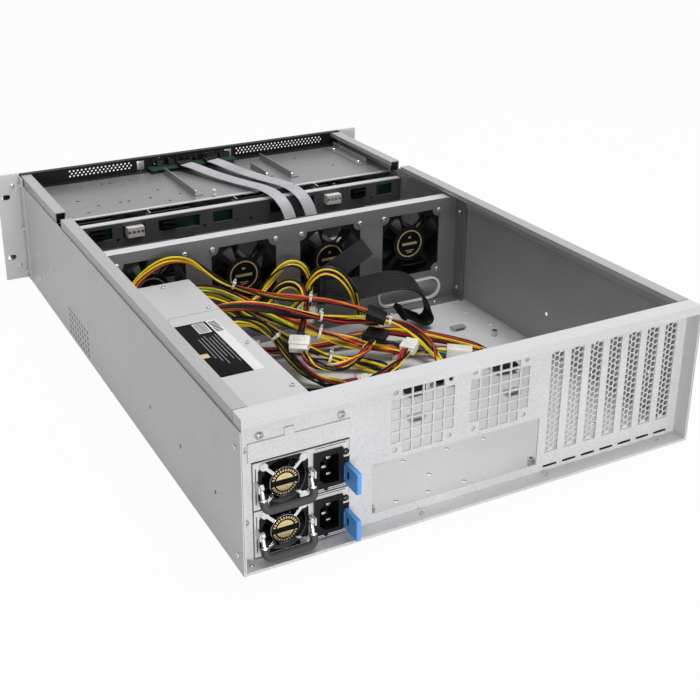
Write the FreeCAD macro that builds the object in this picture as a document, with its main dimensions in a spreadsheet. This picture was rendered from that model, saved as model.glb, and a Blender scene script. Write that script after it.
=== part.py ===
"""Open 3U rack server with sixteen drive bays, a fan wall and two plug-in power supply modules.

Millimetres. X runs across the case, with the power supply on the +X side. Y runs from the rack ears
at the front to the rear panel, with the middle of the case's depth at zero. Z is up from the floor.
Distances called "along" are measured from the plane of the rack ears.
"""

import FreeCAD, Part

import math
import os
import re

from FreeCAD import Placement, Rotation, Vector

SIZES = {
    # case
    "body_width": 430.0,
    "depth": 660.0,
    "metal": 1.2,
    "wall_top": 121.0,
    "rail_top": 131.0,
    "rail_foot": 114.6,
    "rail_flange": 12.0,
    "rim_lip": 8.0,
    "front_rail_start": 2.0,
    "front_rail_end": 161.3,
    "rear_rail_start": 184.7,
    "vent_start": 194.0,
    "vent_pitch_along": 9.6,
    "vent_bottom": 6.0,
    "vent_pitch_up": 6.6,
    "vent_radius": 2.3,
    "slide_hole_start": 458.0,
    "slide_hole_pitch": 75.0,
    "slide_hole_up": 43.0,
    "slide_hole_radius": 2.1,
    # rack ears and handles
    "ear_span": 482.6,
    "ear_height": 132.0,
    "ear_thick": 3.0,
    "ear_flange": 18.0,
    "ear_slot_span": 465.1,
    "ear_slot_low": 28.1,
    "ear_slot_rise": 76.2,
    "ear_slot_length": 10.5,
    "ear_slot_radius": 3.4,
    "grip_across": 224.5,
    "grip_low": 17.0,
    "grip_high": 118.0,
    "grip_reach": 36.0,
    "grip_radius": 4.5,
    "grip_bend": 12.0,
    # rear panel
    "panel_back": 646.0,
    "io_left": 99.5,
    "io_width": 159.0,
    "io_bottom": 10.5,
    "io_height": 44.5,
    "slot_first": -74.0,
    "slot_pitch": 20.32,
    "slot_width": 13.0,
    "slot_bottom": 19.7,
    "slot_high": 113.0,
    "cover_width": 18.4,
    "cover_bottom": 12.0,
    "cover_high": 118.0,
    "mesh_pitch": 5.4,
    "mesh_flat": 4.3,
    "grille_left": 55.0,
    "grille_right": -17.5,
    "grille_up": 88.0,
    "grille_pitch": 9.8,
    "grille_square": 8.2,
    "grille_screw": 25.0,
    # fan wall
    "fan_wall_at": 290.0,
    "fan_wall_top": 123.5,
    "fan_wall_half": 212.4,
    "fan_pitch": 101.6,
    "fan_up": 75.0,
    "fan_side": 80.0,
    "fan_deep": 38.0,
    "fan_bore": 38.2,
    "fan_hub": 20.0,
    "fan_tip": 37.0,
    "fan_screw": 35.75,
    "fan_window": 36.7,
    "shaft_radius": 2.0,
    "shaft_play": 0.06,
    "pass_left": -112.0,
    "pass_right": -192.0,
    "pass_bottom": 4.5,
    "pass_height": 25.0,
    # drive cage
    "bay_pitch": 105.5,
    "row_pitch": 27.8,
    "cage_top": 114.0,
    "cage_end": 145.0,
    "cage_wall_end": 155.0,
    "divider": 1.0,
    "ledge_start": 1.4,
    "ledge_wide": 3.0,
    "ledge_thick": 0.8,
    "tray_wide": 103.6,
    "tray_high": 26.0,
    "tray_long": 150.0,
    "tray_rail": 1.0,
    "tray_play": 0.3,
    "face_wide": 104.0,
    # backplane
    "bracket_at": 167.0,
    "bracket_top": 111.0,
    "board_at": 160.0,
    "board_thick": 1.6,
    "board_high": 20.0,
    "row_up": 99.5,
    # front bezel
    "bezel_bottom": 113.8,
    "bezel_top": 132.0,
    "bezel_half": 214.6,
    "bezel_thick": 1.5,
    "button_up": 124.0,
    "power_across": 42.0,
    "power_radius": 4.8,
    "reset_across": 27.0,
    "reset_radius": 1.8,
    "button_play": 0.3,
    # power supply
    "cage_left": 204.0,
    "cage_right": 119.0,
    "cage_front": 307.0,
    "cage_seam": 390.0,
    "cage_lid": 90.0,
    "bay_left": 201.0,
    "bay_right": 120.1,
    "bay_top": 85.3,
    "module_left": 200.4,
    "module_right": 120.9,
    "module_front": 392.0,
    "module_back": 647.0,
    "module_low": 3.6,
    "module_high": 39.6,
    "module_rise": 41.0,
    "supply_fan_across": 176.0,
    "supply_fan_bore": 18.6,
    "supply_fan_tip": 17.8,
    "supply_hub": 10.0,
    "inlet_across": 139.1,
    "bail_half": 20.2,
    "bail_drop": 14.5,
    "bail_pivot": 5.0,
    "bail_lean": 6.6,
    "bail_radius": 1.6,
    "bail_grip": 3.2,
    "bail_pin": 1.2,
    "latch_pin": 1.0,
    # loose leads
    "exit_play": 0.6,
    "board_lead": 9.0,
    "drive_lead": 4.6,
    "slim_lead": 3.6,
    "flat_width": 25.0,
    "flat_thick": 3.0,
    "ribbon_width": 18.0,
    "ribbon_thick": 1.2,
}

DOC = FreeCAD.newDocument("rack_server")
SHEET = DOC.addObject("Spreadsheet::Sheet", "Sizes")
NODES = []
TURN = {
    "X": Rotation(Vector(0, 1, 0), 90),
    "Y": Rotation(Vector(1, 0, 0), -90),
    "Z": Rotation(),
}
SIDES = (1, -1)
ARC_STEPS = 4
MODULES = (0, 1)
COLUMNS = range(4)
ROWS = range(4)
FANS = range(4)
BAIL_RAISE = 2.0


def fill_sheet():
    """Write the driving dimensions to the spreadsheet, one alias to a row."""
    for row, (alias, number) in enumerate(SIZES.items(), start=1):
        SHEET.set(f"A{row}", alias)
        SHEET.set(f"B{row}", str(number))
        SHEET.setAlias(f"B{row}", alias)
    DOC.recompute()


def mm(alias):
    """Return one driving dimension as a number."""
    return float(SHEET.get(alias))


def bound(text):
    """Return an expression in which every alias is read from the spreadsheet."""
    return re.sub(r"[a-z][a-z_]*", lambda word: "Sizes." + word.group(0), str(text))


def at(across, along, up):
    """Return a point from its distances across, along from the ear plane, and up."""
    return Vector(across, along - mm("depth") / 2, up)


def slab(name, across, along, up):
    """Add a block between two bounds on each axis, each bound an expression."""
    block = DOC.addObject("Part::Box", name)
    from_ears = [f"{limit} - depth / 2" for limit in along]
    for side, axis, (low, high) in zip(("Length", "Width", "Height"), "xyz", (across, from_ears, up)):
        block.setExpression(side, bound(f"({high}) - ({low})"))
        block.setExpression(f"Placement.Base.{axis}", bound(low))
    return block


def rod(name, axis, start, radius, length):
    """Add a round bar along one axis, from a start point given as expressions."""
    bar = DOC.addObject("Part::Cylinder", name)
    bar.Placement = Placement(Vector(), TURN[axis])
    bar.setExpression("Radius", bound(radius))
    bar.setExpression("Height", bound(length))
    across, along, up = start
    for letter, text in zip("xyz", (across, f"{along} - depth / 2", up)):
        bar.setExpression(f"Placement.Base.{letter}", bound(text))
    return bar


def fuse(name, pieces):
    """Join pieces into one solid."""
    joined = DOC.addObject("Part::MultiFuse", name)
    joined.Shapes = pieces
    joined.Refine = True
    return joined


def cut(name, base, tool):
    """Take a tool, or a list of tools, away from a piece."""
    tool = gather(name + "_tools", tool) if isinstance(tool, list) else tool
    result = DOC.addObject("Part::Cut", name)
    result.Base = base
    result.Tool = tool
    return result


def gather(name, pieces):
    """Hold several separate solids together as one object."""
    held = DOC.addObject("Part::Compound", name)
    held.Links = pieces
    return held


def mirror(name, source):
    """Add the copy of a piece on the other side of the case."""
    twin = DOC.addObject("Part::Mirroring", name)
    twin.Source = source
    twin.Normal = Vector(1, 0, 0)
    return twin


def feature(name, shape):
    """Hold a shape that is worked out from the sizes in code."""
    held = DOC.addObject("Part::Feature", name)
    held.Shape = shape
    return held


def node(label, pieces):
    """Name a finished sub-part, made of one piece or of several separate solids."""
    made = pieces if not isinstance(pieces, list) else gather(label + "_set", pieces)
    made.Label = label
    NODES.append(made)
    return made


def ring(centre, radius, normal=Vector(0, 1, 0)):
    """Return a round outline."""
    return Part.Wire(Part.makeCircle(radius, centre, normal))


def outline(points):
    """Return a closed outline of straight sides."""
    return Part.makePolygon(list(points) + [points[0]])


def panel_rect(along, across, up):
    """Return an upright rectangle facing the rear, between bounds across and up."""
    low, high = across
    foot, head = up
    return outline([at(low, along, foot), at(high, along, foot), at(high, along, head), at(low, along, head)])


def panel_oblong(along, across, up):
    """Return an upright oblong with round ends, facing the rear."""
    low, high = across
    foot, head = up
    middle = (foot + head) / 2
    radius = (head - foot) / 2
    corners = [at(low + radius, along, foot), at(high - radius, along, foot)]
    corners += [at(high - radius, along, head), at(low + radius, along, head)]
    edges = [Part.LineSegment(corners[0], corners[1]).toShape()]
    edges.append(Part.Arc(corners[1], at(high, along, middle), corners[2]).toShape())
    edges.append(Part.LineSegment(corners[2], corners[3]).toShape())
    edges.append(Part.Arc(corners[3], at(low, along, middle), corners[0]).toShape())
    return Part.Wire(edges)


def pierced(edge, holes, thickness):
    """Return a flat sheet with holes, its thickness running to the rear."""
    face = Part.makeFace([edge] + holes, "Part::FaceMakerBullseye")
    return face.extrude(Vector(0, thickness, 0))


def rounded_path(points, bend=None):
    """Return a wire of straight runs joined by tangent arcs, and the arcs' radii."""
    edges = []
    radii = []
    start = points[0]
    for before, corner, after in zip(points, points[1:], points[2:]):
        back = before - corner
        ahead = after - corner
        half_turn = (math.pi - back.getAngle(ahead)) / 2
        trim = 0.45 * min(back.Length, ahead.Length)
        trim = trim if bend is None else bend * math.tan(half_turn)
        radius = trim / math.tan(half_turn)
        back.normalize()
        ahead.normalize()
        inward = (back + ahead).normalize()
        first = corner + back * trim
        second = corner + ahead * trim
        middle = corner + inward * (radius / math.cos(half_turn) - radius)
        edges.append(Part.LineSegment(start, first).toShape())
        edges.append(Part.Arc(first, middle, second).toShape())
        radii.append(radius)
        start = second
    edges.append(Part.LineSegment(start, points[-1]).toShape())
    return Part.Wire(edges), radii


def swept(name, path, section, area):
    """Return a section swept along a path, after comparing its volume with area times length."""
    solid = path.makePipeShell([section], True, False)
    expected = area * path.Length
    if abs(solid.Volume - expected) > 0.02 * expected:
        raise RuntimeError(f"{name} has volume {solid.Volume:.0f}, not {expected:.0f}")
    return solid


def round_lead(name, points, diameter):
    """Return a round lead along a route, and print its bend radii."""
    route = [at(*point) for point in points]
    path, radii = rounded_path(route)
    print(name, "length", round(path.Length), "radii", [round(radius) for radius in radii])
    section = ring(route[0], diameter / 2, route[1] - route[0])
    return swept(name, path, section, math.pi * diameter ** 2 / 4)


def flat_lead(name, points, width, thickness):
    """Return a flat lead whose route lies in one upright plane, and print its bend radii."""
    route = [at(*point) for point in points]
    path, radii = rounded_path(route)
    print(name, "length", round(path.Length), "radii", [round(radius) for radius in radii])
    run = (route[1] - route[0]).normalize()
    level = route[-1] - route[0]
    level.z = 0
    across = Vector(0, 0, 1).cross(level).normalize() * (width / 2)
    rise = run.cross(across).normalize() * (thickness / 2)
    start = route[0]
    corners = [start + across + rise, start - across + rise, start - across - rise, start + across - rise]
    return swept(name, path, outline(corners), width * thickness)


def leaning_lead(name, points, width, thickness, leans):
    """Return a flat lead whose width turns from one lean to the next along it, and print its bend radii."""
    path, radii = rounded_path([at(*point) for point in points])
    print(name, "length", round(path.Length), "radii", [round(radius) for radius in radii])
    places = []
    for edge in path.Edges:
        steps = 1 if edge.Curve.TypeId == "Part::GeomLine" else ARC_STEPS
        for step in range(steps):
            where = edge.FirstParameter + (edge.LastParameter - edge.FirstParameter) * step / steps
            places.append((edge.valueAt(where), edge.tangentAt(where)))
    places.append((edge.valueAt(edge.LastParameter), edge.tangentAt(edge.LastParameter)))
    sections = []
    gone = 0.0
    for index, (place, run) in enumerate(places):
        gone += (place - places[max(0, index - 1)][0]).Length
        step = min(gone / path.Length, 0.9999) * (len(leans) - 1)
        before = Vector(*leans[int(step)])
        across = before + (Vector(*leans[int(step) + 1]) - before) * (step % 1.0)
        across = (across - run * across.dot(run)).normalize() * (width / 2)
        rise = run.cross(across).normalize() * (thickness / 2)
        corners = [place + across + rise, place - across + rise, place - across - rise, place + across - rise]
        sections.append(outline(corners))
    solid = Part.makeLoft(sections, True, True)
    expected = width * thickness * path.Length
    if abs(solid.Volume - expected) > 0.04 * expected:
        raise RuntimeError(f"{name} has volume {solid.Volume:.0f}, not {expected:.0f}")
    return solid


# Case


def chassis_tray():
    """Bend the floor and both side walls from one sheet, with vents, floor holes and lanced bridges."""
    half = "body_width / 2"
    floor = slab("tray_floor", (f"-{half}", half), ("0", "depth"), ("0", "metal"))
    left = slab("tray_left", (f"{half} - metal", half), ("0", "depth"), ("metal", "wall_top"))
    right = mirror("tray_right", left)
    bridges = []
    for index, (across, along) in enumerate(((-164, 374), (49, 566), (-128, 520), (-20, 520))):
        deck_up = ("metal", "metal + 4")
        gap_up = ("metal", "metal + 2.8")
        deck = slab(f"bridge_{index}", (across - 8, across + 8), (along - 4, along + 4), deck_up)
        gap = slab(f"bridge_gap_{index}", (across - 6, across + 6), (along - 5, along + 5), gap_up)
        bridges.append(cut(f"bridge_arch_{index}", deck, gap))
    shell = fuse("tray_shell", [floor, left, right] + bridges)
    holes = []
    outside = mm("body_width") / 2 + 1
    inward = mm("metal") + 2
    for side in SIDES:
        into = Vector(-side, 0, 0)
        for column in range(8):
            for row in range(5):
                along = mm("vent_start") + column * mm("vent_pitch_along")
                up = mm("vent_bottom") + row * mm("vent_pitch_up")
                spot = at(side * outside, along, up)
                holes.append(Part.makeCylinder(mm("vent_radius"), inward, spot, into))
        for index in range(3):
            along = mm("slide_hole_start") + index * mm("slide_hole_pitch")
            spot = at(side * outside, along, mm("slide_hole_up"))
            holes.append(Part.makeCylinder(mm("slide_hole_radius"), inward, spot, into))
    floor_spots = [(-198, 339), (-184, 361), (-204, 378), (29, 577), (-16, 577), (-55, 577), (20, 605)]
    floor_spots += [(0, 627), (35, 627), (66, 627), (100, 610), (-100, 600), (-160, 600), (-150, 470)]
    for across, along in floor_spots:
        holes.append(Part.makeCylinder(2.0, mm("metal") + 2, at(across, along, -1)))
    node("chassis_tray", cut("tray", shell, feature("tray_holes", Part.makeCompound(holes))))


def side_rails():
    """Make the two lengths of top rail on each side, where the covers would slide in."""
    inner = "body_width / 2 - metal"
    lengths = {"front": ("front_rail_start", "front_rail_end"), "rear": ("rear_rail_start", "panel_back - 2")}
    rails = []
    for end, along in lengths.items():
        web = slab(f"{end}_web", (f"{inner} - metal", inner), along, ("rail_foot", "rail_top"))
        top = slab(f"{end}_top", (f"{inner} - rail_flange", inner), along, ("rail_top - metal", "rail_top"))
        lip_in = f"{inner} - rail_flange"
        lip = slab(f"{end}_lip", (lip_in, f"{lip_in} + metal"), along, ("rail_top - 5", "rail_top"))
        left = fuse(f"{end}_rail_left", [web, top, lip])
        rails += [left, mirror(f"{end}_rail_right", left)]
    node("side_rails", rails)


def rack_ears():
    """Make the two bent rack ears, each with two slots across."""
    edge = "ear_span / 2"
    side = "body_width / 2"
    plate = slab("ear_plate", (f"{side} + 0.2", edge), ("-ear_thick", "0"), ("0", "ear_height"))
    flange_depth = ("-ear_thick", "ear_flange")
    flange = slab("ear_flange_plate", (side, f"{side} + 1.5"), flange_depth, ("2", "ear_height - 2"))
    blank = fuse("ear_blank", [plate, flange])
    slots = []
    middle = "ear_slot_span / 2"
    reach = "(ear_slot_length / 2 - ear_slot_radius)"
    for index in range(2):
        up = f"ear_slot_low + {index} * ear_slot_rise"
        depth = ("-ear_thick - 1", "1")
        flat = (f"{up} - ear_slot_radius", f"{up} + ear_slot_radius")
        slots.append(slab(f"ear_slot_{index}", (f"{middle} - {reach}", f"{middle} + {reach}"), depth, flat))
        for end in SIDES:
            start = (f"{middle} + {end} * {reach}", "-ear_thick - 1", up)
            slots.append(rod(f"ear_slot_{index}_{end}", "Y", start, "ear_slot_radius", "ear_thick + 2"))
    left = cut("ear_left", blank, fuse("ear_slots", slots))
    node("rack_ears", [left, mirror("ear_right", left)])


def ear_handles():
    """Bend the two front pull handles from round bar."""
    reach = -mm("ear_thick") - mm("grip_reach")
    spot = mm("grip_across")
    low = mm("grip_low")
    high = mm("grip_high")
    face = -mm("ear_thick")
    corners = [at(spot, face, low), at(spot, reach, low), at(spot, reach, high), at(spot, face, high)]
    path, _ = rounded_path(corners, mm("grip_bend"))
    section = ring(corners[0], mm("grip_radius"), Vector(0, 1, 0))
    bar = swept("ear handle", path, section, math.pi * mm("grip_radius") ** 2)
    left = feature("handle_left", bar)
    node("ear_handles", [left, mirror("handle_right", left)])


# Rear panel


def grille_holes(along, middle):
    """Return the square grid of one 60 mm fan outlet, with a round screw hole at each corner."""
    holes = []
    half = mm("grille_square") / 2
    up_middle = mm("grille_up")
    for column in range(6):
        for row in range(6):
            if column in (0, 5) and row in (0, 5):
                continue
            across = middle + (column - 2.5) * mm("grille_pitch")
            up = up_middle + (row - 2.5) * mm("grille_pitch")
            holes.append(panel_rect(along, (across - half, across + half), (up - half, up + half)))
    for side in SIDES:
        for end in SIDES:
            spot = at(middle + side * mm("grille_screw"), along, up_middle + end * mm("grille_screw"))
            holes.append(ring(spot, 2.2))
    return holes


def slot_middle(index):
    """Return the place across of one expansion slot."""
    return mm("slot_first") - index * mm("slot_pitch")


def rear_panel():
    """Make the recessed rear panel with its openings, and the flanges that reach back to the rim."""
    front = mm("panel_back") - mm("metal")
    half = mm("body_width") / 2 - mm("metal")
    edge = panel_rect(front, (-half, half), (mm("metal"), mm("rail_top")))
    holes = [panel_rect(front, (mm("bay_right"), mm("bay_left")), (2 * mm("metal"), mm("bay_top")))]
    io_across = (mm("io_left") - mm("io_width"), mm("io_left"))
    holes.append(panel_rect(front, io_across, (mm("io_bottom"), mm("io_bottom") + mm("io_height"))))
    holes += grille_holes(front, mm("grille_left")) + grille_holes(front, mm("grille_right"))
    for index in range(7):
        middle = slot_middle(index)
        width = mm("slot_width") / 2
        slot_up = (mm("slot_bottom"), mm("slot_high"))
        holes.append(panel_rect(front, (middle - width, middle + width), slot_up))
        holes.append(panel_rect(front, (middle - 4, middle + 4), (5.5, 8.0)))
    sheet = feature("panel_sheet", pierced(edge, holes, mm("metal")))
    inside = "body_width / 2 - metal"
    depth = ("panel_back - metal", "depth")
    side = slab("panel_side", (f"{inside} - metal", inside), depth, ("metal", "rail_top"))
    other = mirror("panel_side_right", side)
    top = slab("panel_top", (f"-({inside})", inside), depth, ("rail_top - metal", "rail_top"))
    lip_up = ("rail_top - rim_lip", "rail_top")
    lip = slab("panel_lip", (f"-({inside})", inside), ("depth - metal", "depth"), lip_up)
    foot = slab("panel_foot", (f"-({inside})", inside), depth, ("metal", "2 * metal"))
    node("rear_panel", fuse("panel", [sheet, side, other, top, lip, foot]))


def slot_covers():
    """Make the seven slot covers, each a strip with a field of hexagonal holes and a bent top tab."""
    thick = 1.0
    front = mm("panel_back") - mm("metal") - thick
    step = mm("mesh_pitch") * math.sqrt(3) / 2
    reach = mm("mesh_flat") / math.sqrt(3)
    half = mm("cover_width") / 2
    covers = []
    for index in range(7):
        middle = slot_middle(index)
        edge = panel_rect(front, (middle - half, middle + half), (mm("cover_bottom"), mm("cover_high")))
        holes = []
        for column in range(3):
            across = middle + (column - 1) * step
            shift = 0.5 * (column % 2)
            for row in range(17):
                up = mm("slot_bottom") + 3 + (row + shift) * mm("mesh_pitch")
                corners = []
                for corner in range(6):
                    angle = math.radians(60 * corner)
                    corners.append(at(across + reach * math.cos(angle), front, up + reach * math.sin(angle)))
                holes.append(outline(corners))
        strip = pierced(edge, holes, thick)
        tab_corner = at(middle - half, front - 9, mm("cover_high") - thick)
        tab = Part.makeBox(mm("cover_width"), 9 + thick, thick, tab_corner)
        covers.append(feature(f"slot_cover_{index + 1}", strip.fuse(tab).removeSplitter()))
    node("slot_covers", covers)


# Fans


def fan_middle(index):
    """Return the place across of one fan, counted from the +X side."""
    return (1.5 - index) * mm("fan_pitch")


def fan_window(along, middle):
    """Return the outline of one fan window: a square whose corners bow in around the screws."""
    half = mm("fan_window")
    screw = mm("fan_screw")
    near = screw - 7.4
    bow = screw - 5.2
    edges = []
    first = None
    last = None
    for side, end in ((1, 1), (-1, 1), (-1, -1), (1, -1)):
        upright = at(middle + side * half, along, mm("fan_up") + end * near)
        level = at(middle + side * near, along, mm("fan_up") + end * half)
        waist = at(middle + side * bow, along, mm("fan_up") + end * bow)
        start, stop = (upright, level) if side == end else (level, upright)
        if last is not None:
            edges.append(Part.LineSegment(last, start).toShape())
        edges.append(Part.Arc(start, waist, stop).toShape())
        first = first or start
        last = stop
    edges.append(Part.LineSegment(last, first).toShape())
    return Part.Wire(edges)


def fan_wall():
    """Make the wall across the case that carries the fans, with flanges and a cable opening."""
    front = mm("fan_wall_at")
    half = mm("fan_wall_half")
    edge = panel_rect(front, (-half, half), (mm("metal"), mm("fan_wall_top")))
    holes = []
    for index in FANS:
        middle = fan_middle(index)
        holes.append(fan_window(front, middle))
        for side in SIDES:
            for end in SIDES:
                spot = at(middle + side * mm("fan_screw"), front, mm("fan_up") + end * mm("fan_screw"))
                holes.append(ring(spot, 1.6))
    holes.append(pass_outline(front, 0))
    sheet = feature("wall_sheet", pierced(edge, holes, mm("metal")))
    edge_in = "fan_wall_half - metal"
    depth = ("fan_wall_at", "fan_wall_at + 20")
    side = slab("wall_side", (edge_in, "fan_wall_half"), depth, ("metal", "fan_wall_top"))
    other = mirror("wall_side_right", side)
    foot_depth = ("fan_wall_at", "fan_wall_at + 16")
    foot = slab("wall_foot", ("-fan_wall_half", "fan_wall_half"), foot_depth, ("metal", "2 * metal"))
    top_depth = ("fan_wall_at - 12", "fan_wall_at + metal")
    top_up = ("fan_wall_top - metal", "fan_wall_top")
    top = slab("wall_top_edge", ("-fan_wall_half", "fan_wall_half"), top_depth, top_up)
    node("fan_wall", fuse("wall", [sheet, side, other, foot, top]))


def pass_outline(along, inset):
    """Return the outline of the cable opening in the fan wall, drawn in by an inset."""
    across = (mm("pass_right") + inset, mm("pass_left") - inset)
    up = (mm("pass_bottom") + inset, mm("pass_bottom") + mm("pass_height") - inset)
    return panel_oblong(along, across, up)


def cable_grommet():
    """Make the nylon edging that lines the cable opening and grips both faces of the wall."""
    front = mm("fan_wall_at")
    back = front + mm("metal")
    lip = 1.2
    lining = pierced(pass_outline(front - lip, 0), [pass_outline(front - lip, lip)], mm("metal") + 2 * lip)
    front_lip = pierced(pass_outline(front - lip, -lip), [pass_outline(front - lip, lip)], lip)
    back_lip = pierced(pass_outline(back, -lip), [pass_outline(back, lip)], lip)
    node("cable_grommet", feature("grommet", lining.fuse([front_lip, back_lip]).removeSplitter()))


def fan_frames():
    """Make the four square fan frames, each with a motor plate on four arms."""
    frames = []
    for index in FANS:
        middle = f"{1.5 - index} * fan_pitch"
        ends = ("fan_wall_at - fan_deep", "fan_wall_at")
        across = (f"{middle} - fan_side / 2", f"{middle} + fan_side / 2")
        block = slab(f"fan_block_{index}", across, ends, ("fan_up - fan_side / 2", "fan_up + fan_side / 2"))
        start = (middle, "fan_wall_at - fan_deep - 1", "fan_up")
        tube = rod(f"fan_tube_{index}", "Y", start, "fan_bore", "fan_deep + 2")
        shell = cut(f"fan_shell_{index}", block, tube)
        plate = rod(f"fan_plate_{index}", "Y", (middle, "fan_wall_at - 6", "fan_up"), "fan_hub", "4.5")
        arms = []
        for turn in (45, 135):
            bar = Part.makeBox(2 * mm("fan_bore") + 1, 3, 4, Vector(-mm("fan_bore") - 0.5, 0, -2))
            arm = feature(f"fan_arm_{index}_{turn}", bar)
            spot = at(fan_middle(index), mm("fan_wall_at") - 6, mm("fan_up"))
            arm.Placement = Placement(spot, Rotation(Vector(0, 1, 0), turn))
            arms.append(arm)
        whole = fuse(f"fan_whole_{index}", [shell, plate] + arms)
        bearing_start = (middle, "fan_wall_at - 7", "fan_up")
        bearing = rod(f"fan_bearing_{index}", "Y", bearing_start, "shaft_radius + shaft_play", "5")
        frames.append(cut(f"fan_frame_{index + 1}", whole, bearing))
    node("fan_frames", frames)


def bladed_rotor(hub, tip, length, blades, shaft):
    """Return a fan rotor about Y from its front face: a hub, twisted blades and a shaft behind it."""
    rotor = Part.makeCylinder(hub, length, Vector(), Vector(0, 1, 0))
    pin = Part.makeCylinder(shaft[0], shaft[1], Vector(0, length, 0), Vector(0, 1, 0))
    sweep_limit = Part.makeCylinder(tip, length, Vector(), Vector(0, 1, 0))
    thick = 0.05 * tip
    solids = [pin]
    for blade in range(blades):
        sections = []
        for radius, chord in ((hub - 1, 0.55 * hub), (tip, 0.62 * tip)):
            front = Vector(-chord / 2, 0.08 * length, radius)
            back = Vector(chord / 2, 0.92 * length, radius)
            lift = Vector(thick / 2, 0, 0)
            sections.append(outline([front - lift, front + lift, back + lift, back - lift]))
        fin = Part.makeLoft(sections, True, True).common(sweep_limit)
        fin.rotate(Vector(), Vector(0, 1, 0), 360 * blade / blades)
        solids.append(fin)
    return rotor.fuse(solids).removeSplitter()


def fan_rotors():
    """Make the four case fan rotors."""
    for index in FANS:
        shape = bladed_rotor(mm("fan_hub") - 1, mm("fan_tip"), 26, 7, (mm("shaft_radius"), 5))
        rotor = feature(f"rotor_{index + 1}", shape)
        rotor.Placement = Placement(at(fan_middle(index), mm("fan_wall_at") - 33, mm("fan_up")), Rotation())
        node(f"fan_rotor_{index + 1}", rotor)


# Drives


def ledge_up(row):
    """Return the expression for the underside of one row's ledges."""
    return f"ledge_start + {row} * row_pitch"


def drive_cage():
    """Make the cage of four columns and four rows, with the small brackets on its top plate."""
    half = "2 * bay_pitch + metal"
    depth = ("2", "cage_wall_end")
    walls = [slab("cage_plate", (f"-({half})", half), ("2", "cage_end"), ("cage_top - metal", "cage_top"))]
    left = slab("cage_side", ("2 * bay_pitch", half), depth, ("metal", "cage_top - metal"))
    walls += [left, mirror("cage_side_right", left)]
    for index in (-1, 0, 1):
        across = (f"{index} * bay_pitch - divider / 2", f"{index} * bay_pitch + divider / 2")
        walls.append(slab(f"cage_divider_{index + 2}", across, depth, ("metal", "cage_top - metal")))
    for row in ROWS:
        up = (ledge_up(row), f"{ledge_up(row)} + ledge_thick")
        for index in (-1, 0, 1):
            reach = "(divider / 2 + ledge_wide)"
            across = (f"{index} * bay_pitch - {reach}", f"{index} * bay_pitch + {reach}")
            walls.append(slab(f"ledge_{row}_{index + 2}", across, depth, up))
        outer = slab(f"ledge_{row}_left", ("2 * bay_pitch - ledge_wide", "2 * bay_pitch"), depth, up)
        walls += [outer, mirror(f"ledge_{row}_right", outer)]
    cage = fuse("cage_walls", walls)
    holes = []
    spots = [(150, 30), (124, 30), (114, 30), (88, 30), (52, 30), (168, 82), (151, 108), (125, 108)]
    spots += [(115, 108), (71, 83), (89, 108), (72, 128), (168, 127), (53, 109), (-20, 60), (-36, 110)]
    spots += [(-130, 40), (-160, 90)]
    for across, along in spots:
        holes.append(Part.makeCylinder(1.9, 4, at(across, along, mm("cage_top") - 3)))
    solids = [cut("cage", cage, feature("cage_holes", Part.makeCompound(holes)))]
    for index, (across, start, stop, lean) in enumerate(
        ((42, 26, 128, -1), (-62, 54, 98, -1), (-89, 22, 114, -1), (-199, 18, 107, 1))
    ):
        foot_side = sorted((across, across + 11 * lean))
        web_side = sorted((across, across + 1.2 * lean))
        foot = slab(f"angle_foot_{index}", foot_side, (start, stop), ("cage_top", "cage_top + 1.2"))
        web = slab(f"angle_web_{index}", web_side, (start, stop), ("cage_top", "cage_top + 8"))
        solids.append(fuse(f"angle_{index + 1}", [foot, web]))
    node("drive_cage", solids)


def drive_trays():
    """Make the sixteen drive trays: a vented front, two side rails, a rear strap and a pull lever."""
    for row in ROWS:
        for column in COLUMNS:
            name = f"tray_{row * 4 + column + 1:02d}"
            middle = f"{1.5 - column} * bay_pitch"
            low = f"({ledge_up(row)} + ledge_thick + tray_play)"
            high = f"({low} + tray_high)"
            across = (f"{middle} - face_wide / 2", f"{middle} + face_wide / 2")
            face = slab(f"{name}_face", across, ("-9", "0"), (low, high))
            vents = []
            for vent in range(6):
                start = f"{middle} - 44 + {vent} * 12"
                vent_up = (f"{low} + 3", f"{low} + 7")
                vents.append(slab(f"{name}_vent_{vent}", (start, f"{start} + 9"), ("-10", "1"), vent_up))
            pocket_across = (f"{middle} - 46", f"{middle} + 46")
            pocket_up = (f"{low} + 10", f"{low} + 22")
            pocket = slab(f"{name}_pocket", pocket_across, ("-10", "-4"), pocket_up)
            front = cut(f"{name}_front", face, vents + [pocket])
            bar_across = (f"{middle} - 45.5", f"{middle} + 45.5")
            bar_up = (f"{low} + 10.5", f"{low} + 21.5")
            lever_body = slab(f"{name}_bar", bar_across, ("-8.5", "-5"), bar_up)
            thumb_across = (f"{middle} - 44", f"{middle} - 32")
            thumb = slab(f"{name}_thumb", thumb_across, ("-10", "-8.5"), (f"{low} + 12", f"{low} + 20"))
            hinge = rod(f"{name}_hinge", "Z", (f"{middle} + 43", "-5.5", f"{low} + 10.5"), "1.5", "11")
            lever = fuse(f"{name}_lever", [lever_body, thumb, hinge])
            solids = [front, lever]
            for side in SIDES:
                edges = (f"{side} * tray_wide / 2", f"{side} * (tray_wide / 2 - tray_rail)")
                limits = [f"{middle} + {edge}" for edge in (edges if side < 0 else edges[::-1])]
                solids.append(slab(f"{name}_rail_{side}", limits, ("0", "tray_long"), (low, f"{high} - 3")))
            inner = (f"{middle} - tray_wide / 2 + tray_rail", f"{middle} + tray_wide / 2 - tray_rail")
            strap = ("tray_long - 1.5", "tray_long")
            solids.append(slab(f"{name}_strap", inner, strap, (low, f"{low} + 5")))
            node(f"drive_{name}", solids)


def row_middle(row):
    """Return the height of the middle of one backplane row, counted from the top."""
    return mm("row_up") - row * mm("row_pitch")


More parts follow.
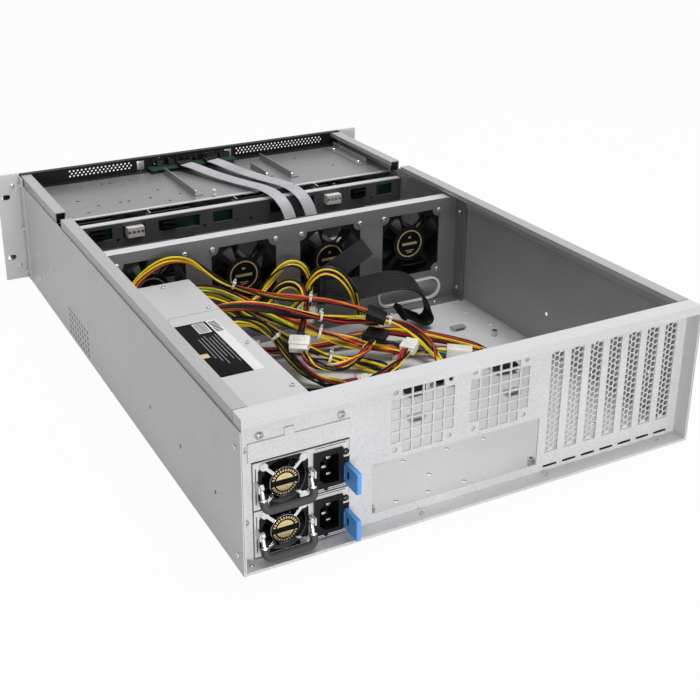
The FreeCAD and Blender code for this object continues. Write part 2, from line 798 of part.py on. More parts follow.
def backplane_bracket():
    """Make the upright plate that carries the backplane boards, with windows for the sockets."""
    front = mm("bracket_at") - mm("metal")
    half = mm("fan_wall_half")
    edge = panel_rect(front, (-half, half), (mm("metal"), mm("bracket_top")))
    holes = []
    windows = [(167, 26), (129, 26), (76, 49), (23, 24), (-47, 20), (-84, 20)]
    windows += [(-117, 21), (-154, 21), (-190, 21)]
    for row in ROWS:
        middle = row_middle(row)
        for across, width in windows:
            edges = (across - width / 2, across + width / 2)
            holes.append(panel_rect(front, edges, (middle - 6.5, middle + 6.5)))
        for across in (148, 46, 5, -12, -100, -172):
            holes.append(ring(at(across, front, middle - 8.5), 1.8))
    sheet = feature("bracket_sheet", pierced(edge, holes, mm("metal")))
    top_depth = ("bracket_at - 9", "bracket_at")
    top_up = ("bracket_top - metal", "bracket_top")
    top = slab("bracket_top_edge", ("-fan_wall_half", "fan_wall_half"), top_depth, top_up)
    node("backplane_bracket", fuse("bracket", [sheet, top]))


def backplane_boards():
    """Make the four backplane boards, one to a row, on stand-off posts in front of the bracket."""
    boards = []
    for row in ROWS:
        middle = f"(row_up - {row} * row_pitch)"
        up = (f"{middle} - board_high / 2", f"{middle} + board_high / 2")
        board = slab(f"board_{row}", ("-208", "208"), ("board_at", "board_at + board_thick"), up)
        posts = []
        for index, across in enumerate((-202, -68, 60, 202)):
            start = (across, "board_at + board_thick", f"{middle} - 7.5")
            reach = "bracket_at - metal - board_at - board_thick"
            posts.append(rod(f"post_{row}_{index}", "Y", start, "2.5", reach))
        boards.append(fuse(f"backplane_board_{row + 1}", [board] + posts))
    node("backplane_boards", boards)


def backplane_sockets():
    """Make the drive sockets on the front of the boards and the data sockets on their rear."""
    sockets = []
    for row in ROWS:
        middle = f"(row_up - {row} * row_pitch)"
        for column in COLUMNS:
            spot = f"{1.5 - column} * bay_pitch"
            across = (f"{spot} - 22", f"{spot} + 22")
            depth = ("board_at - 6", "board_at")
            up = (f"{middle} - 8", f"{middle} - 2")
            sockets.append(slab(f"drive_socket_{row}_{column}", across, depth, up))
        for index, across in enumerate((171, 88, -47, -154)):
            depth = ("board_at + board_thick", "bracket_at + 3")
            width = (across - 8, across + 8)
            shell = slab(f"data_socket_{row}_{index}", width, depth, (f"{middle} - 3.5", f"{middle} + 3.5"))
            mouth_depth = ("bracket_at - 3", "bracket_at + 4")
            mouth_up = (f"{middle} - 1.2", f"{middle} + 1.6")
            mouth = slab(f"data_mouth_{row}_{index}", (across - 6, across + 6), mouth_depth, mouth_up)
            sockets.append(cut(f"data_{row}_{index}", shell, mouth))
    node("backplane_sockets", sockets)


def power_headers():
    """Make the white four-way power headers on the rear of the boards."""
    headers = []
    for row in ROWS:
        middle = f"(row_up - {row} * row_pitch)"
        for index, across in enumerate((129, -117)):
            depth = ("board_at + board_thick", "bracket_at + 8")
            width = (across - 9.5, across + 9.5)
            shell = slab(f"header_{row}_{index}", width, depth, (f"{middle} - 5.5", f"{middle} + 5.5"))
            mouths = []
            for way in range(4):
                start = (across - 7.5 + 5 * way, "bracket_at", middle)
                mouths.append(rod(f"header_way_{row}_{index}_{way}", "Y", start, "1.8", "9"))
            headers.append(cut(f"power_header_{row}_{index}", shell, mouths))
    node("power_headers", headers)


# Front panel


def front_bezel():
    """Make the black front strip with its vents, button holes and port windows."""
    front = -mm("bezel_thick")
    half = mm("bezel_half")
    edge = panel_rect(front, (-half, half), (mm("bezel_bottom"), mm("bezel_top")))
    holes = []
    for start, columns in ((153.5, 16), (-66.5, 25)):
        for column in range(columns):
            for row in range(3):
                across = start - 5 * (column + 0.5 * (row % 2))
                holes.append(ring(at(across, front, 119.5 + 3.2 * row), 1.2))
    buttons = ((mm("power_across"), mm("power_radius")), (mm("reset_across"), mm("reset_radius")))
    for across, radius in buttons:
        holes.append(ring(at(across, front, mm("button_up")), radius + mm("button_play")))
    for index in range(4):
        holes.append(ring(at(15 - 8 * index, front, mm("button_up")), 1.6))
    for across in (-28, -46):
        holes.append(panel_rect(front, (across - 7, across + 7), (119.4, 126.0)))
    sheet = feature("bezel_sheet", pierced(edge, holes, mm("bezel_thick")))
    width = ("-bezel_half", "bezel_half")
    top = slab("bezel_top_edge", width, ("-bezel_thick", "6"), ("bezel_top - 1", "bezel_top"))
    inner = ("-(2 * bay_pitch)", "2 * bay_pitch")
    foot = slab("bezel_foot", inner, ("-bezel_thick", "11"), ("cage_top", "cage_top + 1.2"))
    node("front_bezel", fuse("bezel", [sheet, top, foot]))


def front_panel_board():
    """Make the small board behind the bezel, with its ports, switches, lamps and cable headers."""
    board = slab("panel_board", ("-57", "57"), ("4.6", "22"), ("118", "119.6"))
    posts = [rod(f"panel_post_{end}", "Z", (50 * end, "16", "cage_top"), "2.2", "4") for end in SIDES]
    solids = [fuse("panel_board_on_posts", [board] + posts)]
    for across in (-28, -46):
        width = (across - 6.7, across + 6.7)
        shell = slab(f"port_shell_{-across}", width, ("-1", "9.8"), ("119.6", "125.7"))
        mouth_width = (across - 6.1, across + 6.1)
        mouth = slab(f"port_mouth_{-across}", mouth_width, ("-2", "8"), ("120.2", "125.1"))
        tongue_width = (across - 5.4, across + 5.4)
        tongue = slab(f"port_tongue_{-across}", tongue_width, ("0.5", "8"), ("122.9", "124.6"))
        solids.append(fuse(f"port_{-across}", [cut(f"port_case_{-across}", shell, mouth), tongue]))
    for name, across in (("power", "power_across"), ("reset", "reset_across")):
        width = (f"{across} - 4", f"{across} + 4")
        solids.append(slab(f"{name}_switch", width, ("5", "12"), ("119.6", "127")))
    for index in range(4):
        solids.append(rod(f"lamp_{index}", "Y", (15 - 8 * index, "-1", "button_up"), "1.4", "6"))
        width = (13.5 - 8 * index, 16.5 - 8 * index)
        solids.append(slab(f"lamp_leg_{index}", width, ("5", "6"), ("119.6", "125")))
    for name, (across, _) in RIBBONS.items():
        solids.append(slab(f"{name}_header", (across - 9, across + 9), ("10.5", "14.5"), ("119.6", "124")))
    node("front_panel_board", solids)


def buttons():
    """Make the power button and the reset button, each a round plunger with a domed edge."""
    for name in ("power", "reset"):
        start = (f"{name}_across", "-bezel_thick - 1.8", "button_up")
        plunger = rod(f"{name}_plunger", "Y", start, f"{name}_radius", "bezel_thick + 4.8")
        soft = DOC.addObject("Part::Fillet", f"{name}_soft")
        soft.Base = plunger
        DOC.recompute()
        places = [edge.CenterOfMass.y for edge in plunger.Shape.Edges]
        soft.Edges = [(places.index(min(places)) + 1, 0.6, 0.6)]
        node(f"{name}_button", soft)


# Power supply


def psu_cage():
    """Make the fixed cage of the power supply: a tub, its front plate, a shelf and two covers."""
    depth = ("cage_front", "panel_back - metal")
    wall_up = ("metal", "cage_lid - 1")
    tub = [slab("cage_base", ("cage_right", "cage_left"), depth, ("metal", "metal + 1"))]
    tub.append(slab("cage_wall_left", ("cage_left - 1", "cage_left"), depth, wall_up))
    tub.append(slab("cage_wall_right", ("cage_right", "cage_right + 1"), depth, wall_up))
    between = ("cage_right + 1", "cage_left - 1")
    front_depth = ("cage_front", "cage_front + 1")
    front = slab("cage_front_plate", between, front_depth, ("metal + 1", "cage_lid - 1"))
    shelf_up = ("module_low + module_high + 0.3", "module_low + module_rise - 0.3")
    shelf = slab("cage_shelf", between, ("module_front", "panel_back - metal"), shelf_up)
    side_exits = []
    front_exits = []
    for name, (gauge, route) in LEADS.items():
        across, along, up = route[0]
        hole = f"{gauge} / 2 + exit_play"
        if across == SIZES["cage_right"]:
            side_exits.append(rod(f"exit_{name}", "X", (across - 2, along, up), hole, "5"))
        if along == SIZES["cage_front"]:
            front_exits.append(rod(f"exit_{name}", "Y", (across, along - 2, up), f"{hole} + 1.4", "5"))
    solids = [cut("cage_tub", fuse("cage_tub_sheet", tub), side_exits)]
    solids += [cut("cage_front_sheet", front, front_exits), shelf]
    width = ("cage_right", "cage_left")
    lid = ("cage_lid - 1", "cage_lid")
    solids.append(slab("front_cover", width, ("cage_front", "cage_seam - 0.3"), lid))
    solids.append(slab("rear_cover", width, ("cage_seam + 0.3", "panel_back - metal"), lid))
    flange_depth = ("panel_back", "panel_back + metal")
    flange_up = ("bay_top + 0.7", "101.7")
    flange = slab("rear_flange", ("bay_right - 0.3", "cage_left"), flange_depth, flange_up)
    notch = slab("flange_notch", ("166.5", "174.5"), flange_depth, ("101.7", "108"))
    solids.append(fuse("cage_flange", [flange, notch]))
    node("psu_cage", solids)


def psu_distribution_board():
    """Make the board at the end of the module bays, with a socket for each module and output blocks."""
    board_width = ("cage_right + 2", "cage_left - 2")
    solids = [slab("sharing_board", board_width, ("382", "384"), ("metal + 2", "cage_lid - 3"))]
    for module in MODULES:
        low = f"module_low + {module} * module_rise + 12"
        solids.append(slab(f"module_socket_{module}", ("140", "180"), ("384", "390"), (low, f"{low} + 14")))
    flat = slab("output_board", ("cage_right + 4", "cage_left - 4"), ("330", "380"), ("14", "15.6"))
    post_up = ("metal + 1", "14")
    feet = []
    for end in SIDES:
        foot_width = (159 + 30 * end, 163 + 30 * end)
        feet.append(slab(f"output_foot_{end}", foot_width, ("352", "356"), post_up))
    solids.append(fuse("output_board_on_feet", [flat] + feet))
    solids.append(slab("output_coil", ("150", "174"), ("340", "370"), ("15.6", "38")))
    node("psu_distribution_board", solids)


def module_base(module):
    """Return the expression for the underside of one plug-in module, the lower one first."""
    return f"(module_low + {module} * module_rise)"


def module_middle(module):
    """Return the height of the middle of one plug-in module."""
    return mm("module_low") + module * mm("module_rise") + mm("module_high") / 2


def psu_modules():
    """Make both plug-in modules, each a case with its fan, inlet, guard, bail and latch."""
    for module in MODULES:
        number = module + 1
        psu_case(module, number)
        psu_inlet(module, number)
        psu_guard(module, number)
        psu_rotor(module, number)
        psu_handle(module, number)
        psu_latch(module, number)


def psu_case(module, number):
    """Make one module's sheet case with its fan opening and inlet cut-out, and the board inside."""
    low = module_base(module)
    high = f"({low} + module_high)"
    middle = f"({low} + module_high / 2)"
    width = ("module_right", "module_left")
    outer = slab(f"case_outer_{number}", width, ("module_front", "module_back"), (low, high))
    inner_width = ("module_right + 1", "module_left - 1")
    inner_depth = ("module_front + 1", "module_back - 1")
    inner_up = (f"{low} + 1", f"{high} - 1")
    inner = slab(f"case_inner_{number}", inner_width, inner_depth, inner_up)
    bore_start = ("supply_fan_across", "module_back - 3", middle)
    bore = rod(f"case_bore_{number}", "Y", bore_start, "supply_fan_bore", "5")
    socket_width = ("inlet_across - 11", "inlet_across + 11")
    socket_up = (f"{middle} - 13.5", f"{middle} + 13.5")
    socket = slab(f"case_socket_{number}", socket_width, ("module_back - 3", "module_back + 1"), socket_up)
    latch_width = ("module_right - 1", "module_right + 6.2")
    latch_depth = ("module_back - 13", "module_back + 1")
    latch_gap = slab(f"case_latch_{number}", latch_width, latch_depth, (f"{low} + 3", f"{low} + 22.2"))
    shell = cut(f"case_shell_{number}", outer, [inner, bore, socket, latch_gap])
    bracket_width = ("supply_fan_across - 19.1", "supply_fan_across + 19.1")
    bracket_depth = ("module_back - 31", "module_back - 29")
    bracket = slab(f"case_bracket_{number}", bracket_width, bracket_depth, inner_up)
    bearing_start = ("supply_fan_across", "module_back - 32", middle)
    bearing = rod(f"case_bearing_{number}", "Y", bearing_start, "1.5 + shaft_play", "5")
    board_depth = ("module_front + 1", "module_back - 45")
    board = slab(f"case_board_{number}", inner_width, board_depth, (f"{low} + 1", f"{low} + 3"))
    coil_depth = ("module_front + 60", "module_front + 110")
    coil = slab(f"case_coil_{number}", ("135", "180"), coil_depth, (f"{low} + 3", f"{low} + 28"))
    solids = [shell, cut(f"case_bearing_plate_{number}", bracket, bearing), board, coil]
    pin_start = ("module_right + 2.6", "module_back - 9", f"{low} + 0.5")
    solids.append(rod(f"case_latch_pin_{number}", "Z", pin_start, "latch_pin", "module_high - 1"))
    pivot_up = f"({middle} + {BAIL_RAISE})"
    for side in SIDES:
        inner = f"supply_fan_across + {side} * (bail_half + bail_radius + 0.3)"
        ends = (inner, f"{inner} + {side} * 1.4")
        depth = ("module_back - 0.5", "module_back + bail_pivot + 3")
        lug = slab(f"case_lug_{number}_{side}", ends[::side], depth, (f"{pivot_up} - 3", f"{pivot_up} + 3"))
        reach = "(2 * bail_radius + 0.3)"
        pin_from = f"{inner} - {reach}" if side > 0 else inner
        pin_at = (pin_from, "module_back + bail_pivot", pivot_up)
        solids += [lug, rod(f"case_bail_pin_{number}_{side}", "X", pin_at, "bail_pin", reach)]
    whole = fuse(f"case_whole_{number}", solids)
    node(f"psu_case_{number}", whole)


def psu_inlet(module, number):
    """Make one mains inlet: a flanged body with a six-sided recess and three blades."""
    middle = module_middle(module)
    back = mm("module_back")
    spot = mm("inlet_across")
    flange = Part.makeBox(24.4, 2.6, 31, at(spot - 12.2, back, middle - 15.5))
    body = Part.makeBox(21.4, 20, 26.4, at(spot - 10.7, back - 20, middle - 13.2))
    recess = []
    for across, up in ((-8.2, 12), (3.4, 12), (8.2, 7.2), (8.2, -7.2), (3.4, -12), (-8.2, -12)):
        recess.append(at(spot + across, back + 3, middle + up))
    mouth = Part.Face(outline(recess)).extrude(Vector(0, -18, 0))
    shape = flange.fuse(body).cut(mouth)
    blades = []
    for across, up in ((-2.0, 7.0), (-2.0, -7.0), (2.0, 0.0)):
        blades.append(Part.makeBox(2, 13, 4, at(spot + across - 1, back - 15.5, middle + up - 2)))
    node(f"psu_inlet_{number}", feature(f"inlet_{number}", shape.fuse(blades).removeSplitter()))


def psu_guard(module, number):
    """Make one stamped finger guard: a middle disc, four legs and four screw eyes."""
    spot = at(mm("supply_fan_across"), mm("module_back"), module_middle(module))
    back = Vector(0, 1, 0)
    disc = Part.makeCylinder(12, 2.2, spot, back)
    arms = []
    for index in range(4):
        leg = Part.makeBox(13, 1.6, 2.6, Vector(10, 0, -1.3))
        eye = Part.makeCylinder(3.2, 1.6, Vector(22.6, 0, 0), back)
        arm = leg.fuse(eye)
        arm.rotate(Vector(), back, 45 + 90 * index)
        arm.translate(spot)
        arms.append(arm)
    node(f"psu_guard_{number}", feature(f"guard_{number}", disc.fuse(arms).removeSplitter()))


def psu_rotor(module, number):
    """Make one module's fan rotor on its short shaft."""
    shape = bladed_rotor(mm("supply_hub"), mm("supply_fan_tip"), 20, 7, (1.5, 7))
    rotor = feature(f"supply_rotor_{number}", shape)
    spot = at(mm("supply_fan_across"), mm("module_back") - 2.5, module_middle(module))
    rotor.Placement = Placement(spot, Rotation(Vector(0, 0, 1), 180))
    node(f"psu_rotor_{number}", rotor)


def psu_handle(module, number):
    """Make one folding bail: two wire arms on their pivots and a thick sleeve round the bar between them."""
    middle = module_middle(module)
    spot = mm("supply_fan_across")
    half = mm("bail_half")
    radius = mm("bail_radius")
    bend = 5.0
    pivot = mm("module_back") + mm("bail_pivot")
    pivot_up = middle + BAIL_RAISE
    bar_along = pivot + mm("bail_lean")
    bar_up = middle - mm("bail_drop")
    corners = [at(spot + half, pivot, pivot_up), at(spot + half, bar_along, bar_up)]
    corners += [at(spot - half, bar_along, bar_up), at(spot - half, pivot, pivot_up)]
    ends = [(corners[0] + corners[1]) / 2, (corners[2] + corners[3]) / 2]
    path, _ = rounded_path([ends[0], corners[1], corners[2], ends[1]], bend)
    section = ring(ends[0], mm("bail_grip"), corners[1] - corners[0])
    bail = swept("sleeve", path, section, math.pi * mm("bail_grip") ** 2)
    sideways = Vector(1, 0, 0)
    eye_half = 0.8 * radius
    for top, end in ((corners[0], ends[0]), (corners[3], ends[1])):
        reach = (end - top).Length
        run = (end - top).normalize()
        eye = Part.makeCylinder(3.0, 2 * eye_half, top - sideways * eye_half, sideways)
        bore_radius = mm("bail_pin") + mm("shaft_play")
        bore = Part.makeCylinder(bore_radius, 4 * radius, top - sideways * 2 * radius, sideways)
        arm = Part.makeCylinder(radius, reach - 1.0, top + run * 2.0, run)
        bail = bail.fuse(eye.cut(bore).fuse(arm))
    node(f"psu_handle_{number}", feature(f"bail_{number}", bail.removeSplitter()))


def psu_latch(module, number):
    """Make one release latch: a tab standing out of the module's right edge, with a rounded end."""
    low = module_base(module)
    width = ("module_right", "module_right + 4")
    tab_depth = ("module_back + 0.5", "module_back + 21")
    tab = slab(f"latch_tab_{number}", width, tab_depth, (f"{low} + 2.8", f"{low} + 20.4"))
    root_width = ("module_right + 0.8", "module_right + 4.4")
    root_depth = ("module_back - 11.5", "module_back + 1")
    root = slab(f"latch_root_{number}", root_width, root_depth, (f"{low} + 6", f"{low} + 18"))
    soft = DOC.addObject("Part::Fillet", f"latch_soft_{number}")
    soft.Base = tab
    DOC.recompute()
    places = [edge.CenterOfMass.y for edge in tab.Shape.Edges]
    ends = [index + 1 for index, place in enumerate(places) if abs(place - max(places)) < 0.01]
    soft.Edges = [(index, 1.5, 1.5) for index in ends]
    start = ("module_right + 2.6", "module_back - 9", low)
    bore = rod(f"latch_bore_{number}", "Z", start, "latch_pin + shaft_play", "module_high")
    node(f"psu_latch_{number}", cut(f"latch_{number}", fuse(f"latch_blank_{number}", [soft, root]), bore))


# Fasteners


def screw_head(spot, way, radius):
    """Return one pan head with a crossed drive, standing on a spot and facing a way."""
    height = 0.55 * radius
    head = Part.makeCylinder(radius, height, Vector(), Vector(0, 0, 1))
    dome = Part.makeCone(radius, 0.7 * radius, 0.3 * radius, Vector(0, 0, height), Vector(0, 0, 1))
    top = 0.85 * radius
    shape = head.fuse(dome)
    for size in ((1.1, 0.3), (0.3, 1.1)):
        width, depth = (radius * part for part in size)
        corner = Vector(-width / 2, -depth / 2, top - 0.4 * radius)
        shape = shape.cut(Part.makeBox(width, depth, radius, corner))
    shape.Placement = Placement(spot, Rotation(Vector(0, 0, 1), way))
    return shape


def fasteners():
    """Set every screw, rivet and board standoff of the case."""
    heads = []
    rear = Vector(0, 1, 0)
    up_way = Vector(0, 0, 1)
    wall_back = mm("fan_wall_at") + mm("metal")
    for index in FANS:
        for side in SIDES:
            for end in SIDES:
                across = fan_middle(index) + side * mm("fan_screw")
                spot = at(across, wall_back, mm("fan_up") + end * mm("fan_screw"))
                heads.append(screw_head(spot, rear, 3.0))
    for side in SIDES:
        away = Vector(side, 0, 0)
        inside = side * (mm("fan_wall_half") - mm("metal"))
        for height in (15, 107):
            heads.append(screw_head(at(inside, mm("fan_wall_at") + 10, height), Vector(-side, 0, 0), 2.4))
        skin = side * mm("body_width") / 2
        rivets = [(76, 56), (138, 57), (68, 23), (130, 24), (198, 44.5), (266, 44.5), (315, 108), (303, 10)]
        for along, height in rivets:
            heads.append(screw_head(at(skin, along, height), away, 1.7))
        for height in (14, 105):
            heads.append(screw_head(at(skin, 651, height), away, 2.2))
        for height in (12, 66, 120):
            heads.append(screw_head(at(skin + side * 1.5, 10, height), away, 2.6))
        for height in (mm("grip_low"), mm("grip_high")):
            heads.append(screw_head(at(side * mm("grip_across"), 0, height), rear, 2.8))
    for across, height, radius in ((194.5, 106.5, 3.2), (127.5, 106.5, 3.2), (207, 36, 2.6), (207, 97, 2.6)):
        heads.append(screw_head(at(across, mm("panel_back"), height), rear, radius))
    for across in (-188, -66, 57.5, 206):
        heads.append(screw_head(at(across, 653, 2 * mm("metal")), up_way, 1.8))
    for across, along in ((128, 383), (174, 396), (188, 383), (126, 470), (126, 560), (150, 318), (190, 600)):
        heads.append(screw_head(at(across, along, mm("cage_lid")), up_way, 2.2))
    angle_screws = [(36, 38), (36, 114), (-68, 62), (-68, 90), (-95, 34), (-95, 104), (-193, 30), (-193, 96)]
    for across, along in angle_screws:
        heads.append(screw_head(at(across, along, mm("cage_top") + 1.2), up_way, 2.6))
    for across in (-181, -60, 60, 181):
        heads.append(screw_head(at(across, 300, 2 * mm("metal")), up_way, 2.4))
    for index in range(7):
        heads.append(screw_head(at(slot_middle(index), mm("panel_back") - 8, mm("cover_high")), up_way, 2.8))
    for across in (92, -65.48, -189.94):
        for along in (632, 477.06, 404.67):
            post = Part.Face(hexagon(at(across, along, mm("metal")), 3.4)).extrude(Vector(0, 0, 6.5))
            heads.append(post.cut(Part.makeCylinder(1.5, 8, at(across, along, mm("metal") - 1))))
    solids = [feature(f"fastener_{index}", shape) for index, shape in enumerate(heads)]
    node("fasteners", solids)


def hexagon(centre, reach):
    """Return a level six-sided outline."""
    corners = []
    for corner in range(6):
        angle = math.radians(60 * corner)
        corners.append(centre + Vector(reach * math.cos(angle), reach * math.sin(angle), 0))
    return outline(corners)


# Loose leads

LEADS = {
    "board_lead_a": ("board_lead", [
        (119, 318, 80), (100, 321, 79), (82, 333, 71), (60, 350, 60), (36, 365, 48), (10, 378, 36),
        (-16, 388, 27), (-44, 396, 18), (-74, 402, 12), (-98, 412, 9), (-116, 424, 8),
    ]),
    "board_lead_b": ("board_lead", [
        (119, 334, 76), (101, 338, 72), (84, 350, 62), (64, 366, 47), (42, 381, 32), (16, 394, 20),
        (-12, 406, 12), (-34, 422, 8), (-43, 441, 7.5), (-44, 459, 8),
    ]),
    "drive_lead_a": ("drive_lead", [
        (180, 307, 80), (177, 300, 91), (160, 299, 104), (139, 300, 113), (117, 304, 110), (103, 312, 98),
        (90, 322, 87), (70, 335, 79), (46, 349, 73), (19, 361, 70), (-8, 372, 66), (-27, 382, 61),
        (-40, 391, 55),
    ]),
    "drive_lead_b": ("drive_lead", [
        (119, 319, 52), (98, 320, 46), (72, 322, 38), (44, 324, 34), (20, 328, 41), (3, 332, 57),
        (-4, 333, 75), (-16, 338, 87), (-32, 347, 83), (-43, 355, 65), (-48, 355, 45), (-54, 352, 28),
        (-65, 347, 16), (-80, 341, 11.5),
    ]),
    "drive_lead_c": ("slim_lead", [
        (119, 350, 56), (98, 352, 52), (76, 346, 48), (56, 338, 52), (41, 334, 63), (31, 334, 75),
        (19, 338, 79), (11, 346, 73), (12, 358, 63), (20, 370, 56), (29, 382, 49), (36, 392, 43),
    ]),
    "drive_lead_d": ("drive_lead", [
        (119, 364, 60), (100, 367, 62), (82, 371, 62), (67, 377, 55), (58, 386, 42), (50, 396, 27),
        (42, 410, 15), (32, 426, 9), (16, 437, 7), (-2, 440, 7),
    ]),
    "drive_lead_e": ("slim_lead", [
        (119, 344, 34), (106, 350, 33), (97, 359, 34), (90, 369, 36),
    ]),
    "drive_lead_f": ("drive_lead", [
        (119, 376, 40), (106, 384, 34), (95, 398, 24), (84, 415, 14), (68, 432, 9), (46, 446, 8),
        (22, 455, 9), (-2, 458, 12), (-24, 456, 17), (-44, 448, 22), (-60, 436, 26),
    ]),
    "drive_lead_g": ("drive_lead", [
        (119, 327, 64), (102, 327, 61), (84, 328, 57), (66, 325, 56), (49, 319, 61), (36, 315, 71),
        (24, 313, 83), (10, 313, 90), (-4, 315, 86), (-11, 318, 73), (-11, 322, 57), (-5, 327, 43),
    ]),
    "data_lead_a": ("drive_lead", [
        (119, 357, 76), (98, 361, 77), (76, 367, 75), (50, 374, 68), (22, 378, 58), (-6, 378, 49),
        (-32, 379, 44), (-56, 384, 41), (-78, 396, 35), (-92, 416, 25), (-94, 440, 15), (-86, 460, 11),
    ]),
    "data_lead_b": ("drive_lead", [
        (119, 330, 26), (98, 332, 19), (72, 338, 13), (44, 344, 9), (14, 350, 8), (-16, 356, 9),
        (-44, 362, 14), (-70, 370, 18), (-96, 384, 16), (-122, 399, 11), (-145, 420, 8), (-156, 444, 8),
        (-152, 466, 8),
    ]),
    "data_lead_c": ("slim_lead", [
        (43, 412, 36), (42, 424, 31), (33, 435, 28), (16, 440, 27), (-3, 434, 28), (-20, 424, 31),
        (-34, 413, 34),
    ]),
}

FLAT_CABLES = {
    "flat_cable_a": ([(-0.394, 0.515, -0.761), (-0.394, 0.515, -0.761)], [
        (-24, 318, 64.7), (-38.2, 322.4, 75), (-52.9, 325.5, 84.8), (-66.5, 327.4, 93.2),
        (-76, 324.8, 96.3), (-80.5, 318.3, 94.2), (-76.8, 312, 88), (-64.3, 308, 78.8),
        (-50.5, 304.6, 69.4), (-37.1, 302.2, 60.9),
    ]),
    "flat_cable_b": ([(0.165, 0.315, -0.935), (0.17, 0.6, -0.78), (0.2, 0.95, -0.2), (0.2, 0.96, -0.1)], [
        (-18, 339.5, 62), (-33, 340, 59.5), (-49.2, 340.5, 58.6), (-69.2, 341.5, 59), (-88.2, 342, 60.4),
        (-106.6, 342.5, 59.4), (-122.8, 343, 53.6), (-134, 343.8, 41.8), (-140.8, 345, 26.8),
        (-143.2, 346.7, 13.9), (-136.4, 348.5, 8.3), (-123.4, 349.5, 15), (-110, 348, 22.4),
    ]),
}

RIBBONS = {
    "ribbon_a": (12.5, -0.39),
    "ribbon_b": (-23.0, -0.34),
}
RIBBON_START = 24.0
RIBBON_RUN = [
    (0, 122.6), (14, 122.4), (36, 120.0), (64, 118.6), (94, 118.4), (122, 119.4), (142, 116.5),
    (157, 107), (166, 91), (169, 71), (170, 50), (174, 31), (185, 16), (201, 9),
]

LEAD_NODES = {
    "board_leads": ("board_lead_a", "board_lead_b"),
    "drive_leads": [f"drive_lead_{letter}" for letter in "abcdefg"],
    "data_leads": ("data_lead_a", "data_lead_b", "data_lead_c"),
}


def ribbon_route(name):
    """Return a ribbon's route from the front panel board, over the cage and down behind the bracket."""
    across, sway = RIBBONS[name]
    return [(across + sway * run, RIBBON_START + run, up) for run, up in RIBBON_RUN]


def loose_leads():
    """Lay the wire leads, the flat cables and the ribbons along their routes."""
    for label, names in LEAD_NODES.items():
        tubes = []
        for name in names:
            gauge, points = LEADS[name]
            tubes.append(feature(name, round_lead(name, points, mm(gauge))))
        node(label, tubes)
    cables = []
    for name, (leans, points) in FLAT_CABLES.items():
        shape = leaning_lead(name, points, mm("flat_width"), mm("flat_thick"), leans)
        cables.append(feature(name, shape))
    node("flat_cables", cables)
    ribbons = []
    for name in RIBBONS:
        route = ribbon_route(name)
        ribbons.append(feature(name, flat_lead(name, route, mm("ribbon_width"), mm("ribbon_thick"))))
    node("ribbon_cables", ribbons)


def plug(name, route, size, lean=None):
    """Return a plug's block at the end of a route, in line with its last run, and level unless it leans."""
    width, length, height = size
    end = at(*route[-1])
    run = end - at(*route[-2])
    run.normalize()
    block = Part.makeBox(width, length, height, Vector(-width / 2, 0, -height / 2))
    key = Part.makeBox(width * 0.3, length * 0.5, 1.2, Vector(-width * 0.15, length * 0.3, height / 2))
    block = block.fuse(key).removeSplitter()
    side = Vector(run.y, -run.x, 0) if lean is None else Vector(*lean)
    side = (side - run * side.dot(run)).normalize()
    block.Placement = Placement(end, Rotation(side, run, side.cross(run), "XYZ"))
    return feature(name, block)


def plugs():
    """Put a plug on the free end of every lead: white nylon power plugs and black data plugs."""
    power = (21, 17, 9)
    four_way = (16, 18, 9)
    data = (24, 20, 7)
    flat = (27, 7, 6)
    white = {"board_lead_a": (14, 26, 11), "drive_lead_b": power, "drive_lead_c": power}
    white.update({"drive_lead_d": four_way, "drive_lead_e": power, "drive_lead_f": four_way})
    white["drive_lead_g"] = power
    black = {"board_lead_b": (18, 24, 11), "drive_lead_a": data, "data_lead_a": data, "data_lead_b": data}
    black["data_lead_c"] = (24, 18, 7)
    node("nylon_plugs", [plug(f"plug_{name}", LEADS[name][1], size) for name, size in white.items()])
    dark = [plug(f"plug_{name}", LEADS[name][1], size) for name, size in black.items()]
    for name, (leans, points) in FLAT_CABLES.items():
        dark.append(plug(f"plug_{name}_start", points[::-1], flat, leans[0]))
        dark.append(plug(f"plug_{name}_stop", points, flat, leans[-1]))
    for name in RIBBONS:
        route = ribbon_route(name)
        dark.append(plug(f"plug_{name}_start", route[1::-1], (19, 6, 5)))
        dark.append(plug(f"plug_{name}_stop", route, (20, 6, 7)))
    node("data_plugs", dark)


def check_and_write():
    """Recompute, stop on any failed object or bad shape, and write one file to a sub-part."""
    DOC.recompute()
    for item in DOC.Objects:
        if "Invalid" in item.State or "Error" in item.State:
            raise RuntimeError(f"{item.Label} failed: {item.State}")
    os.makedirs("parts", exist_ok=True)
    for item in NODES:
        shape = item.Shape
        if shape.isNull() or not shape.isValid() or not shape.Solids:
            raise RuntimeError(f"{item.Label} has no valid solid")
    for item in NODES:
        item.Shape.exportStep(f"parts/{item.Label}.step")
        print(f"{item.Label}: {len(item.Shape.Solids)} solids, {item.Shape.Volume / 1000:.1f} cm3")
    print(len(NODES), "sub-parts written")


fill_sheet()
chassis_tray()
side_rails()
rack_ears()
ear_handles()
rear_panel()
slot_covers()
fan_wall()
cable_grommet()
fan_frames()
fan_rotors()
drive_cage()
drive_trays()
backplane_bracket()
backplane_boards()
backplane_sockets()
power_headers()
front_bezel()
front_panel_board()
buttons()
psu_cage()
psu_distribution_board()
psu_modules()
fasteners()
loose_leads()
plugs()
check_and_write()
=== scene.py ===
"""Dress the open rack server: plated sheet metal, black fans, two power modules and the loose leads.

Fields hold millimetres and meshes hold metres. X runs across the case with the power supply on the
+X side, Y runs to the rear and Z is up. A distance "along" is measured from the plane of the ears.
A place is across, along and up, and colours are linear.
"""

import logging
import math
import random
from abc import ABC, abstractmethod
from dataclasses import dataclass
from enum import Enum
from typing import Optional, Sequence, Union

import bmesh
import bpy
from mathutils import Matrix, Vector


